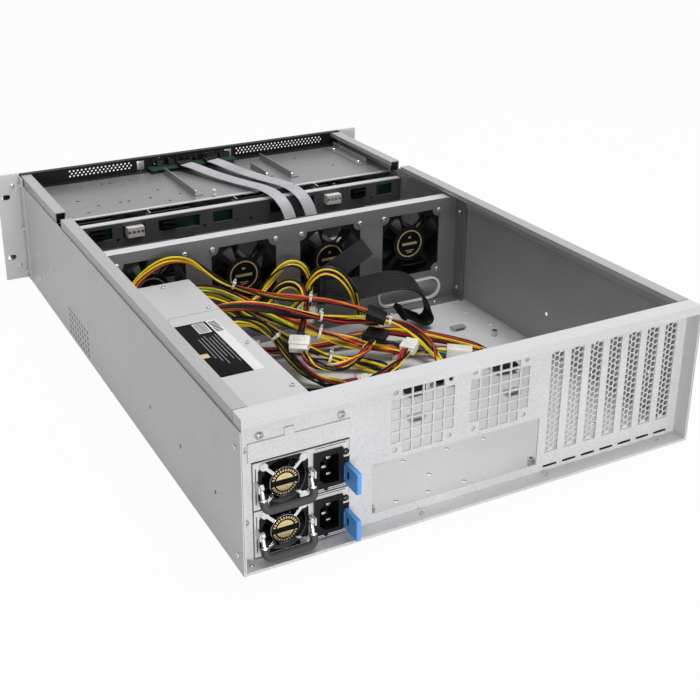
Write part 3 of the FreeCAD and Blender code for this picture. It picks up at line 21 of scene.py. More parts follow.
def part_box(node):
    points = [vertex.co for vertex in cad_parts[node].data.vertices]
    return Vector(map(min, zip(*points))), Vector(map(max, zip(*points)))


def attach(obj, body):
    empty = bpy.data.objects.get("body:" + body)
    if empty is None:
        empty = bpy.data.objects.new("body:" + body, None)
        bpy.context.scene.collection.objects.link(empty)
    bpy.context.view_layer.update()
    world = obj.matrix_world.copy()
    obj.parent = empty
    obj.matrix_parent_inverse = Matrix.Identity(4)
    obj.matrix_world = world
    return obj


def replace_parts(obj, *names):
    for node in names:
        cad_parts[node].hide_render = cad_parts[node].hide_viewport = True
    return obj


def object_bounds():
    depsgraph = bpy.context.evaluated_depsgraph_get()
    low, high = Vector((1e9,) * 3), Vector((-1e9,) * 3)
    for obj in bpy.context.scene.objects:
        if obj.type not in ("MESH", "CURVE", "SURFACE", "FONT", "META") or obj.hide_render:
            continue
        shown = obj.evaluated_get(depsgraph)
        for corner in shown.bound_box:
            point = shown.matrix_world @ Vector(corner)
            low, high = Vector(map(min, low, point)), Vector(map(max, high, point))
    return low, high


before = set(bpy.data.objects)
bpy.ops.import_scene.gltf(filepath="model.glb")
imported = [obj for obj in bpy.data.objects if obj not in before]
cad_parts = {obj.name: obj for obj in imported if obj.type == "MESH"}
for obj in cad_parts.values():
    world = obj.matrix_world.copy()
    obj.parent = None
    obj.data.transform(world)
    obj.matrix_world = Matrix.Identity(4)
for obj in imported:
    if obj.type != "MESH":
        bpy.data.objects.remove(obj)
CAD_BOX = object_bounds()

LOG = logging.getLogger("rack_server")
CHASSIS = "chassis"
MM = 0.001
HALF_DEPTH = 330.0
FULL_TURN = 2.0 * math.pi
GOLDEN_TURN = math.pi * (3.0 - math.sqrt(5.0))
UP = Vector((0.0, 0.0, 1.0))
REAR = Vector((0.0, 1.0, 0.0))
ROW_FRAME = Matrix.Translation((0.0, -HALF_DEPTH * MM, 0.0))
FINE_ROUND = 64
SMALL_ROUND = 24
COARSE_ROUND = 16
CENTRE_HOLE = 0.02
STOCK = 0.16
PRINTED = 0.24
FLOOR_TOP = 4.0 * MM
OUT_OF_REACH = 9.0
# Painted shade: the share by which the inner walls of the case are darkened.
PAINTED_SHADE = (0.5, 0.5, 0.51, 1.0)
# Painted highlight: the pale colour laid on the top edges of sheets where light catches them.
PAINTED_HIGHLIGHT = (0.62, 0.62, 0.63, 1.0)

Place = tuple[float, float]
Point = tuple[float, float, float]
Colour = tuple[float, float, float]
Station = tuple[Vector, float, Vector, Vector, Vector]
Node = bpy.types.Node
Piece = bpy.types.Object
Socket = bpy.types.NodeSocket
Value = Union[Socket, float, Sequence[float]]


def spot(across: float, along: float, up: float) -> Vector:
    """Return a place of the row frame in metres."""
    return Vector((across, along - HALF_DEPTH, up)) * MM


def facing(origin: Vector, way: Vector, upright: Vector = UP) -> Matrix:
    """Return a frame whose local Z faces a way and whose local Y is nearly upright.

    Args:
        origin: The frame's origin in metres.
        way: The direction of local Z.
        upright: The direction that local Y leans towards.

    Returns:
        A rigid 4x4 matrix.
    """
    depth = way.normalized()
    side = upright.cross(depth).normalized()
    turn = Matrix((side, depth.cross(side), depth)).transposed()
    return Matrix.Translation(origin) @ turn.to_4x4()


def circle(steps: int, shift: float = 0.0) -> list[Place]:
    """Return cosine and sine of angles evenly round a circle, the first one shifted by a share."""
    turns = [FULL_TURN * (step + shift) / steps for step in range(steps)]
    return [(math.cos(turn), math.sin(turn)) for turn in turns]


def smooth_step(share: float) -> float:
    """Return an eased share between zero and one."""
    share = min(1.0, max(0.0, share))
    return share * share * (3.0 - 2.0 * share)


def shade(tint: Colour, share: float) -> Colour:
    """Return a colour made darker or lighter."""
    return tuple(min(1.0, part * share) for part in tint)


def link(name: str, data: bpy.types.ID) -> Piece:
    """Put a new object into the scene.

    Args:
        name: Its name.
        data: What it shows.

    Returns:
        The object.
    """
    made = bpy.data.objects.new(name, data)
    bpy.context.scene.collection.objects.link(made)
    return made


class Graph:
    """A node tree while it is put together."""

    def __init__(self, tree: bpy.types.NodeTree) -> None:
        """Keep the tree."""
        self.tree = tree

    def join(self, socket: Socket, value: Value) -> None:
        """Link or set one input.

        Args:
            socket: The input.
            value: An output to link to it, or a constant.
        """
        if isinstance(value, bpy.types.NodeSocket):
            self.tree.links.new(value, socket)
        else:
            socket.default_value = value

    def node(self, kind: str, *sources: Value, **settings: object) -> Node:
        """Add one node.

        Args:
            kind: The node's type without its prefix.
            sources: What its first inputs get.
            settings: Properties to set on it.

        Returns:
            The new node.
        """
        made = self.tree.nodes.new("ShaderNode" + kind)
        for name, value in settings.items():
            setattr(made, name, value)
        for socket, value in zip(made.inputs, sources):
            self.join(socket, value)
        return made

    def feed(self, node: Node, **inputs: Value) -> Node:
        """Fill a node's inputs by name.

        Args:
            node: The node to feed.
            inputs: What each input gets, with underscores for the spaces in its name.

        Returns:
            The same node.
        """
        for name, value in inputs.items():
            self.join(node.inputs[name.replace("_", " ")], value)
        return node

    def maths(self, operation: str, first: Value, second: Value) -> Socket:
        """Return two values under an operation."""
        return self.node("Math", first, second, operation=operation).outputs["Value"]

    def both(self, first: Socket, second: Socket) -> Socket:
        """Return a mask that is one where two masks are one."""
        return self.maths("MULTIPLY", first, second)

    def either(self, first: Socket, second: Socket) -> Socket:
        """Return the larger of two values, so that a mask is one where either is."""
        return self.maths("MAXIMUM", first, second)

    def span(self, factor: Socket, low: float, high: float, start: float = 0.0) -> Socket:
        """Return a factor that runs from a start to one, spread over a range of values."""
        spread = self.feed(self.node("MapRange", factor), From_Min=start, To_Min=low, To_Max=high)
        return spread.outputs["Result"]

    def seen_directly(self) -> Socket:
        """Return a mask of the rays that see a thing plainly: from the camera, a mirror or glass.

        Returns:
            The mask.
        """
        rays = self.node("LightPath").outputs
        mirrored = self.either(rays["Is Camera Ray"], rays["Is Glossy Ray"])
        return self.either(mirrored, rays["Is Transmission Ray"])


class Recipe(Graph):
    """The node tree of one material."""

    MIX_INPUTS = (0, 6, 7)
    MIX_OUTPUT = 2
    EDGE_SAMPLES = 4

    def __init__(self, title: str) -> None:
        """Start a material with a principled surface.

        Args:
            title: The material's name.
        """
        self.material = bpy.data.materials.new(title)
        self.material.use_nodes = True
        super().__init__(self.material.node_tree)
        self.tree.nodes.clear()
        self.shader = self.node("BsdfPrincipled")
        self.output = self.node("OutputMaterial", self.shader.outputs["BSDF"])
        self.place = self.node("TexCoord").outputs["Object"]

    def surface(self, **inputs: Value) -> None:
        """Feed the principled surface."""
        self.feed(self.shader, **inputs)

    def grain(self, scale: float, detail: float = 2.0, stretch: Point = (1.0, 1.0, 1.0)) -> Socket:
        """Return a noise over the object.

        Args:
            scale: Cells to a metre.
            detail: Octaves.
            stretch: How much finer the noise is on each axis.

        Returns:
            The noise factor.
        """
        mapping = self.feed(self.node("Mapping", self.place), Scale=stretch)
        noise = self.node("TexNoise", mapping.outputs["Vector"])
        return self.feed(noise, Scale=scale, Detail=detail).outputs["Fac"]

    def blend(
        self, factor: Socket, dark: Colour, light: Colour, low: float = 0.3, high: float = 0.7
    ) -> Socket:
        """Return a colour that runs from dark to light.

        Args:
            factor: What drives the run.
            dark: The colour at the low end.
            light: The colour at the high end.
            low: The factor at which it is still dark.
            high: The factor from which it is light.

        Returns:
            The colour.
        """
        ramp = self.node("ValToRGB", factor)
        for stop, place, colour in zip(ramp.color_ramp.elements, (low, high), (dark, light)):
            stop.position = place
            stop.color = (*colour, 1.0)
        return ramp.outputs["Color"]

    def mixed(self, factor: Value, first: Value, second: Value, kind: str = "MIX") -> Socket:
        """Return two colours mixed.

        Args:
            factor: The share of the second colour.
            first: The first colour.
            second: The second colour.
            kind: The way of mixing.

        Returns:
            The colour.
        """
        mix = self.node("Mix", data_type="RGBA", blend_type=kind)
        for place, value in zip(self.MIX_INPUTS, (factor, first, second)):
            self.join(mix.inputs[place], value)
        return mix.outputs[self.MIX_OUTPUT]

    def beyond(self, axis: str, limit: float, test: str = "GREATER_THAN") -> Socket:
        """Return a mask that is one where the object's own coordinate is above a limit in metres."""
        parts = self.node("SeparateXYZ", self.place)
        return self.maths(test, parts.outputs[axis], limit)

    def under(self, axis: str, limit: float) -> Socket:
        """Return a mask that is one where the object's own coordinate is below a limit in metres."""
        return self.beyond(axis, limit, "LESS_THAN")

    def relief(self, height: Socket, strength: float, depth: float, soft: float = 0.0) -> None:
        """Give the surface a fine relief, over edges that are softened for light.

        Args:
            height: The relief's height.
            strength: How strongly it shows.
            depth: Its depth.
            soft: The radius of the softened edges, or zero.
        """
        bump = self.feed(self.node("Bump"), Height=height, Strength=strength, Distance=depth * MM)
        if soft:
            bevel = self.feed(self.node("Bevel", samples=self.EDGE_SAMPLES), Radius=soft * MM)
            self.feed(bump, Normal=bevel.outputs["Normal"])
        self.surface(Normal=bump.outputs["Normal"])


@dataclass(frozen=True)
class Finish(ABC):
    """A surface finish, with its material's name and the record's slot."""

    title: str
    slot: str

    def material(self) -> bpy.types.Material:
        """Return the finish's material, made at its first use.

        Returns:
            The material.
        """
        made = bpy.data.materials.get(self.title)
        if made is None:
            recipe = Recipe(self.title)
            self.compose(recipe)
            made = recipe.material
        return made

    @abstractmethod
    def compose(self, recipe: Recipe) -> None:
        """Put the finish's nodes together.

        Args:
            recipe: The material to fill.
        """


@dataclass(frozen=True)
class PlatedSheet(Finish):
    """Zinc plated steel sheet with a fine sandy grain and soft cloudy patches.

    Above a height it takes a painted highlight, with highlighted ends only before the first and behind the
    second. Its upright walls take painted shade within a distance from mid-width. All these are
    coordinates in metres.
    """

    tone: float
    metal: float = 0.06
    roughness: float = 0.4
    highlight_above: float = OUT_OF_REACH
    shade_within: float = 0.0
    highlight_ends: Optional[Place] = None
    speckle: float = 0.14
    streak: Point = (1.0, 1.0, 1.0)

    def compose(self, recipe: Recipe) -> None:
        """Mix cloudy patches, a sandy grain, the painted highlight and painted shade, and softened edges.

        Args:
            recipe: The material to fill.
        """
        cloud = recipe.grain(9.0, 4.0, self.streak)
        sand = recipe.grain(900.0)
        deep = self.tone * 0.93
        pale = self.tone * 1.05
        patches = recipe.blend(cloud, (deep, deep, deep * 1.01), (pale, pale * 1.003, pale * 1.01))
        low = 1.0 - self.speckle
        speckle = recipe.blend(sand, (low, low, low * 1.01), (1.0, 1.0, 1.0), 0.35, 0.6)
        sheet = recipe.mixed(1.0, patches, speckle, "MULTIPLY")
        # Painted highlight: the top edges take a pale colour that stands in for light caught there.
        if self.highlight_above < OUT_OF_REACH:
            sheet = recipe.mixed(self.painted_highlight_edges(recipe), sheet, PAINTED_HIGHLIGHT)
        # Painted shade: the inner walls are darkened as the shade inside the case.
        if self.shade_within:
            shaded_sheet = recipe.mixed(1.0, sheet, PAINTED_SHADE, "MULTIPLY")
            sheet = recipe.mixed(self.inner_walls(recipe), sheet, shaded_sheet)
        recipe.surface(
            Base_Color=sheet,
            Metallic=self.metal,
            Specular_IOR_Level=0.35,
            Roughness=recipe.span(cloud, self.roughness - 0.07, self.roughness + 0.07),
        )
        recipe.relief(sand, 0.12, 0.05, soft=0.35)

    def painted_highlight_edges(self, recipe: Recipe) -> Socket:
        """Return a mask of the top edges that take the painted highlight.

        Args:
            recipe: The material.

        Returns:
            The mask.
        """
        highlit = recipe.beyond("Z", self.highlight_above)
        if self.highlight_ends:
            first, second = self.highlight_ends
            ends = recipe.either(recipe.under("Y", first), recipe.beyond("Y", second))
            highlit = recipe.both(highlit, ends)
        return highlit

    def inner_walls(self, recipe: Recipe) -> Socket:
        """Return a mask of what lies inside the width and above the floor, where the painted shade goes.
        """
        inside = recipe.both(recipe.beyond("X", -self.shade_within), recipe.under("X", self.shade_within))
        return recipe.both(recipe.beyond("Z", FLOOR_TOP), inside)


@dataclass(frozen=True)
class BrightMetal(Finish):
    """Polished plated wire and screw heads."""

    tint: Colour
    roughness: float

    def compose(self, recipe: Recipe) -> None:
        """Mix a clear metal with faint smears.

        Args:
            recipe: The material to fill.
        """
        smear = recipe.grain(240.0, 3.0, (1.0, 1.0, 0.3))
        recipe.surface(
            Base_Color=recipe.blend(smear, shade(self.tint, 0.82), self.tint),
            Metallic=1.0,
            Roughness=recipe.span(smear, self.roughness * 0.6, self.roughness * 1.6),
        )
        recipe.relief(smear, 0.05, 0.03, soft=0.2)


@dataclass(frozen=True)
class Moulding(Finish):
    """Moulded plastic or powder coat with a fine spark texture, in cells to a metre."""

    tint: Colour
    roughness: float
    texture: float = 900.0
    depth: float = 0.12
    shine: float = 0.4

    def compose(self, recipe: Recipe) -> None:
        """Mix the body colour with a slow drift, and add the texture.

        Args:
            recipe: The material to fill.
        """
        drift = recipe.grain(30.0, 3.0)
        spark = recipe.grain(self.texture)
        recipe.surface(
            Base_Color=recipe.blend(drift, shade(self.tint, 0.84), shade(self.tint, 1.1)),
            Roughness=recipe.span(spark, self.roughness - 0.08, self.roughness + 0.08),
            Specular_IOR_Level=self.shine,
        )
        recipe.relief(spark, self.depth, 0.05, soft=0.25)


@dataclass(frozen=True)
class TrayFinish(Finish):
    """A drive tray: a black moulded front, and plated rails behind its parting in metres."""

    parting: float

    def compose(self, recipe: Recipe) -> None:
        """Split the finish where the front meets the rails.

        Args:
            recipe: The material to fill.
        """
        behind = recipe.beyond("Y", self.parting)
        spark = recipe.grain(800.0)
        drift = recipe.grain(14.0, 3.0)
        front = recipe.blend(drift, (0.012, 0.012, 0.013), (0.02, 0.02, 0.021))
        rails = recipe.blend(drift, (0.4, 0.4, 0.41), (0.5, 0.5, 0.51))
        recipe.surface(
            Base_Color=recipe.mixed(behind, front, rails),
            Metallic=recipe.span(behind, 0.0, 0.6),
            Roughness=recipe.span(spark, 0.36, 0.52),
        )
        recipe.relief(spark, 0.1, 0.05, soft=0.3)


@dataclass(frozen=True)
class BailFinish(Finish):
    """A wire bail: a soft black sleeve up to a height in metres, bright wire above it."""

    sleeve_top: float

    def compose(self, recipe: Recipe) -> None:
        """Split the finish where the sleeve ends.

        Args:
            recipe: The material to fill.
        """
        above = recipe.beyond("Z", self.sleeve_top)
        foam = recipe.grain(900.0, 3.0)
        sleeve = recipe.blend(foam, (0.026, 0.026, 0.028), (0.042, 0.042, 0.044))
        recipe.surface(
            Base_Color=recipe.mixed(above, sleeve, (0.7, 0.7, 0.72, 1.0)),
            Metallic=above,
            Roughness=recipe.span(above, 0.62, 0.2),
        )
        recipe.relief(foam, 0.2, 0.06)


@dataclass(frozen=True)
class Laminate(Finish):
    """Board laminate: a mask over fine copper runs, and dark parts above a height in metres."""

    mask: Colour
    runs: Colour
    parts_above: float = OUT_OF_REACH

    def compose(self, recipe: Recipe) -> None:
        """Mix square runs into the mask, and blacken what stands on the board.

        Args:
            recipe: The material to fill.
        """
        upright = recipe.feed(recipe.node("Mapping", recipe.place), Rotation=(math.pi / 2, 0.0, 0.0))
        squares = recipe.node("TexBrick", upright.outputs["Vector"])
        recipe.feed(squares, Scale=180.0, Mortar_Size=0.03)
        weave = recipe.grain(300.0, 3.0)
        ground = recipe.blend(weave, self.mask, shade(self.mask, 1.4))
        board = recipe.mixed(squares.outputs["Fac"], ground, (*self.runs, 1.0))
        above = recipe.beyond("Z", self.parts_above)
        recipe.surface(
            Base_Color=recipe.mixed(above, board, (0.014, 0.014, 0.015, 1.0)),
            Roughness=recipe.span(weave, 0.28, 0.45),
        )
        recipe.relief(weave, 0.06, 0.03, soft=0.2)


@dataclass(frozen=True)
class Jacket(Finish):
    """The soft sleeve of one wire."""

    tint: Colour
    shine: float = 0.35

    def compose(self, recipe: Recipe) -> None:
        """Mix a faintly uneven colour under a soft gloss.

        Args:
            recipe: The material to fill.
        """
        drift = recipe.grain(60.0)
        recipe.surface(
            Base_Color=recipe.blend(drift, shade(self.tint, 0.8), self.tint),
            Roughness=recipe.span(drift, 0.26, 0.42),
            Specular_IOR_Level=self.shine,
        )
        recipe.relief(recipe.grain(700.0, 1.0), 0.04, 0.03)


@dataclass(frozen=True)
class Foil(Finish):
    """Printed sticker stock, plain or metallic."""

    tint: Colour
    metal: float
    roughness: float
    shine: float = 0.5

    def compose(self, recipe: Recipe) -> None:
        """Mix a print that is a little uneven on its stock.

        Args:
            recipe: The material to fill.
        """
        uneven = recipe.grain(420.0, 3.0)
        recipe.surface(
            Base_Color=recipe.blend(uneven, shade(self.tint, 0.86), self.tint),
            Metallic=self.metal,
            Roughness=recipe.span(uneven, self.roughness - 0.08, self.roughness + 0.08),
            Specular_IOR_Level=self.shine,
        )
        recipe.relief(uneven, 0.03, 0.02)


CAGE_ENDS = (-323.5 * MM, -189.8 * MM)
CASE_STEEL = PlatedSheet("satin plated steel", "case_steel", 0.62)
# Painted shade on the tub's inner walls.
TUB_STEEL = PlatedSheet("case tub steel", "case_steel", 0.64, shade_within=214.4 * MM)
# Painted highlight along the top rim of the rear panel and the slot covers.
PANEL_STEEL = PlatedSheet("plated steel with painted highlight", "case_steel", 0.63, highlight_above=130.4 * MM)
RAIL_STEEL = PlatedSheet("rail steel", "case_steel", 0.44, 0.15, 0.36, streak=(24.0, 0.6, 24.0))
# Painted shade: the fan wall is the case's plated steel at a darker tone for the shade inside the case,
# with a painted highlight on its top edge.
SHADED_WALL_STEEL = PlatedSheet("fan wall steel in painted shade", "case_steel", 0.22, 0.35, 0.34, 123.1 * MM)
# Painted shade: the drive cage is the same plated steel at a darker tone, with a painted highlight on its
# top edges at both ends.
SHADED_CAGE_STEEL = PlatedSheet(
    "cage steel in painted shade", "inner_steel", 0.31, 0.5, 0.36, 112.5 * MM, highlight_ends=CAGE_ENDS, speckle=0.3
)
# Painted highlight on the bracket's top edge.
BRACKET_STEEL = PlatedSheet("bracket steel", "inner_steel", 0.1, 0.25, 0.4, 109.9 * MM)
SCREW_STEEL = BrightMetal("screw steel", "screw_steel", (0.62, 0.62, 0.63), 0.24)
BRIGHT_WIRE = BrightMetal("chrome guard wire", "bright_wire", (0.78, 0.78, 0.8), 0.12)
BLACK_COAT = Moulding("black powder coat", "black_metal", (0.012, 0.012, 0.013), 0.5, 1400.0, 0.2, 0.2)
BLACK_PLASTIC = Moulding("black moulding", "black_plastic", (0.007, 0.007, 0.008), 0.36, shine=0.16)
GREY_PLASTIC = Moulding("dark grey moulding", "grey_plastic", (0.04, 0.04, 0.042), 0.42, shine=0.25)
BLUE_PLASTIC = Moulding("sky blue moulding", "blue_plastic", (0.105, 0.355, 0.80), 0.38, 600.0, 0.06)
WHITE_NYLON = Moulding("white nylon", "white_nylon", (0.74, 0.72, 0.66), 0.42, 700.0, 0.06)
RIBBON_GREY = Moulding("grey ribbon sleeve", "grey_ribbon", (0.52, 0.52, 0.55), 0.4, 500.0, 0.05)
# Painted shade: a darker line along each wire of the grey ribbons, for the shade of the grooves between
# wires.
RIBBON_SHADE = Moulding("ribbon painted shade", "grey_ribbon", (0.36, 0.36, 0.39), 0.4, 500.0, 0.05)
FLAT_BLACK = Moulding("black flat sleeve", "black_cable", (0.008, 0.008, 0.009), 0.4, 500.0, 0.05, 0.12)
# Painted highlight: a lighter line beside each wire's crest on the black flat cables.
FLAT_HIGHLIGHT = Moulding("worn flat sleeve", "black_cable", (0.05, 0.05, 0.053), 0.4, 500.0, 0.05, 0.12)
GREEN_BOARD = Laminate("green board", "board_green", (0.008, 0.034, 0.017), (0.014, 0.058, 0.027))
PANEL_BOARD = Laminate(
    "panel board", "board_green", (0.01, 0.042, 0.022), (0.018, 0.07, 0.036), 119.7 * MM
)
LOWER_BAIL = BailFinish("lower bail", "black_plastic", 17.0 * MM)
UPPER_BAIL = BailFinish("upper bail", "black_plastic", 58.0 * MM)
TRAY_FINISH = TrayFinish("drive tray", "black_plastic", -329.9 * MM)
GOLD_FOIL = Foil("gold foil", "wire_yellow", (0.74, 0.6, 0.3), 0.75, 0.3)
BLACK_FOIL = Foil("black label stock", "black_plastic", (0.006, 0.006, 0.007), 0.0, 0.5, 0.04)
WHITE_PAPER = Foil("white label stock", "white_nylon", (0.8, 0.8, 0.79), 0.0, 0.5)
GREY_INK = Foil("grey ink", "grey_plastic", (0.3, 0.3, 0.31), 0.0, 0.5)
SILVER_FOIL = Foil("silver label stock", "case_steel", (0.66, 0.67, 0.68), 0.5, 0.32)
LENS = Foil("lamp lens", "board_green", (0.02, 0.035, 0.02), 0.0, 0.14)


class Wire(Enum):
    """The sleeve colours of the power leads."""

    YELLOW = Jacket("yellow sleeve", "wire_yellow", (0.83, 0.62, 0.015))
    RED = Jacket("red sleeve", "wire_red", (0.4, 0.013, 0.012))
    ORANGE = Jacket("orange sleeve", "wire_orange", (0.70, 0.125, 0.022))
    BLACK = Jacket("black sleeve", "black_cable", (0.006, 0.006, 0.007), 0.2)
    BLUE = Jacket("blue sleeve", "blue_plastic", (0.03, 0.1, 0.36))
    GREEN = Jacket("green sleeve", "board_green", (0.04, 0.25, 0.06))


class Shell:
    """A mesh while it is put together. Sizes and places are millimetres in its frame."""

    def __init__(self, at: Matrix = ROW_FRAME) -> None:
        """Start an empty mesh in a frame, by default the row frame."""
        self.mesh = bmesh.new()
        self.at = at

    def point(self, x: float, y: float, z: float) -> Vector:
        """Return a place of the shell's frame in metres."""
        return self.at @ (Vector((x, y, z)) * MM)

    def block(self, size: Point, place: Point, soft: float, index: int = 0) -> None:
        """Add a block with softened edges.

        Args:
            size: Its sizes.
            place: Its middle.
            soft: The radius of its edges.
            index: The material's index.
        """
        middle = self.at @ Matrix.Translation(Vector(place) * MM)
        scaled = middle @ Matrix.Diagonal((*(part * MM for part in size), 1.0))
        older = set(self.mesh.faces)
        made = bmesh.ops.create_cube(self.mesh, size=1.0, matrix=scaled)
        edges = list(dict.fromkeys(edge for vert in made["verts"] for edge in vert.link_edges))
        bevel = {"segments": 2, "profile": 0.6, "affect": "EDGES", "clamp_overlap": True}
        bmesh.ops.bevel(self.mesh, geom=edges, offset=soft * MM, **bevel)
        for face in self.mesh.faces:
            if face not in older:
                face.material_index = index

    def loft(self, rings: Sequence[Sequence[Vector]], index: int = 0, round_trip: bool = False) -> None:
        """Add a skin over rings of points, closed at its ends or round on itself.

        Args:
            rings: The rings in metres, each with as many points.
            index: The material's index.
            round_trip: Whether the last ring joins the first.
        """
        rows = [[self.mesh.verts.new(point) for point in ring] for ring in rings]
        faces = []
        for first, second in zip(rows, rows[1:] + rows[:1] if round_trip else rows[1:]):
            for here in range(len(first)):
                after = (here + 1) % len(first)
                faces.append((first[here], first[after], second[after], second[here]))
        if not round_trip:
            faces += [rows[0][::-1], rows[-1]]
        for corners in faces:
            self.mesh.faces.new(corners).material_index = index

    def spun(self, section: Sequence[Place], place: Place, steps: int) -> list[list[Vector]]:
        """Return a section at each step round an axis along local Z.

        Args:
            section: Radius and height of its points.
            place: Where the axis stands.
            steps: Steps round the axis.

        Returns:
            The section's points at each step.
        """
        rings = []
        for cos, sin in circle(steps):
            corners = [(place[0] + radius * cos, place[1] + radius * sin, up) for radius, up in section]
            rings.append([self.point(*corner) for corner in corners])
        return rings

    def turned(self, profile: Sequence[Place], place: Place, index: int, steps: int) -> None:
        """Add a solid turned about local Z."""
        self.loft(list(zip(*self.spun(profile, place, steps))), index)

    def disc(self, radius: float, height: float, place: Place, index: int, steps: int) -> None:
        """Add a flat disc."""
        self.turned(((radius, 0.0), (radius, height), (CENTRE_HOLE, height)), place, index, steps)

    def hoop(self, radii: Place, height: float, place: Place, index: int, steps: int) -> None:
        """Add a flat hoop about local Z."""
        section = ((radii[0], 0.0), (radii[1], 0.0), (radii[1], height), (radii[0], height))
        self.loft(self.spun(section, place, steps), index, round_trip=True)

    def plate(self, edge: Sequence[Place], height: float, index: int) -> None:
        """Add a flat plate of any outline on the local XY plane."""
        self.loft([[self.point(x, y, up) for x, y in edge] for up in (0.0, height)], index)

    def tube(self, line: Sequence[Vector], radius: float, index: int, sides: int = 8) -> None:
        """Add a round tube along a line.

        Args:
            line: The points that it follows, in metres.
            radius: Its radius.
            index: The material's index.
            sides: Corners to a ring.
        """
        rings = []
        for point, _, _, side, other in stations(line):
            rings.append([point + (side * cos + other * sin) * radius * MM for cos, sin in circle(sides)])
        self.loft(rings, index)

    def piece(self, name: str, finishes: Sequence[Finish], body: str, sharp: float = 35.0) -> Piece:
        """Finish the mesh as a piece that rides on a body.

        Args:
            name: The piece's name.
            finishes: Its finishes, in the order of the material indices.
            body: The body that it rides on.
            sharp: The angle in degrees from which an edge stays sharp.

        Returns:
            The piece.
        """
        bmesh.ops.recalc_face_normals(self.mesh, faces=self.mesh.faces[:])
        data = bpy.data.meshes.new(name)
        self.mesh.to_mesh(data)
        self.mesh.free()
        for finish in finishes:
            data.materials.append(finish.material())
        data.shade_smooth()
        data.set_sharp_from_angle(angle=math.radians(sharp))
        made = link(name, data)
        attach(made, body)
        LOG.info("piece %s on %s, %d faces", name, body, len(data.polygons))
        return made


def stations(line: Sequence[Vector]) -> list[Station]:
    """Return a frame at each point of a line that turns as little as it can.

    Args:
        line: The points.

    Returns:
        At each point: the point, its share of the length, the direction, the side and the other side.
    """
    gone = [0.0]
    for first, second in zip(line, line[1:]):
        gone.append(gone[-1] + (second - first).length)
    made = []
    side = None
    for index, point in enumerate(line):
        run = line[min(index + 1, len(line) - 1)] - line[max(index - 1, 0)]
        run.normalize()
        side = run.orthogonal() if side is None else side - run * side.dot(run)
        side.normalize()
        made.append((point, gone[index] / gone[-1], run, side.copy(), run.cross(side)))
    return made


def plug_frame(route: Sequence[Point], lean: Optional[Point] = None) -> Matrix:
    """Return the frame of a plug at the end of a route: local Y runs on, local X is level or leans.

    Args:
        route: The route's places.
        lean: The direction of the plug's width, or None where it is level.

    Returns:
        The frame, with its origin where the lead enters the plug.
    """
    end = spot(*route[-1])
    run = (end - spot(*route[-2])).normalized()
    side = Vector((run.y, -run.x, 0.0) if lean is None else lean)
    side = (side - run * side.dot(run)).normalized()
    return Matrix.Translation(end) @ Matrix((side, run, side.cross(run))).transposed().to_4x4()


class PlugKind(Enum):
    """The shapes of plug on the loose leads."""

    POWER = "four way power plug"
    BOARD = "two row board plug"
    DATA = "flat drive plug"
    STRIP = "flat cable socket"


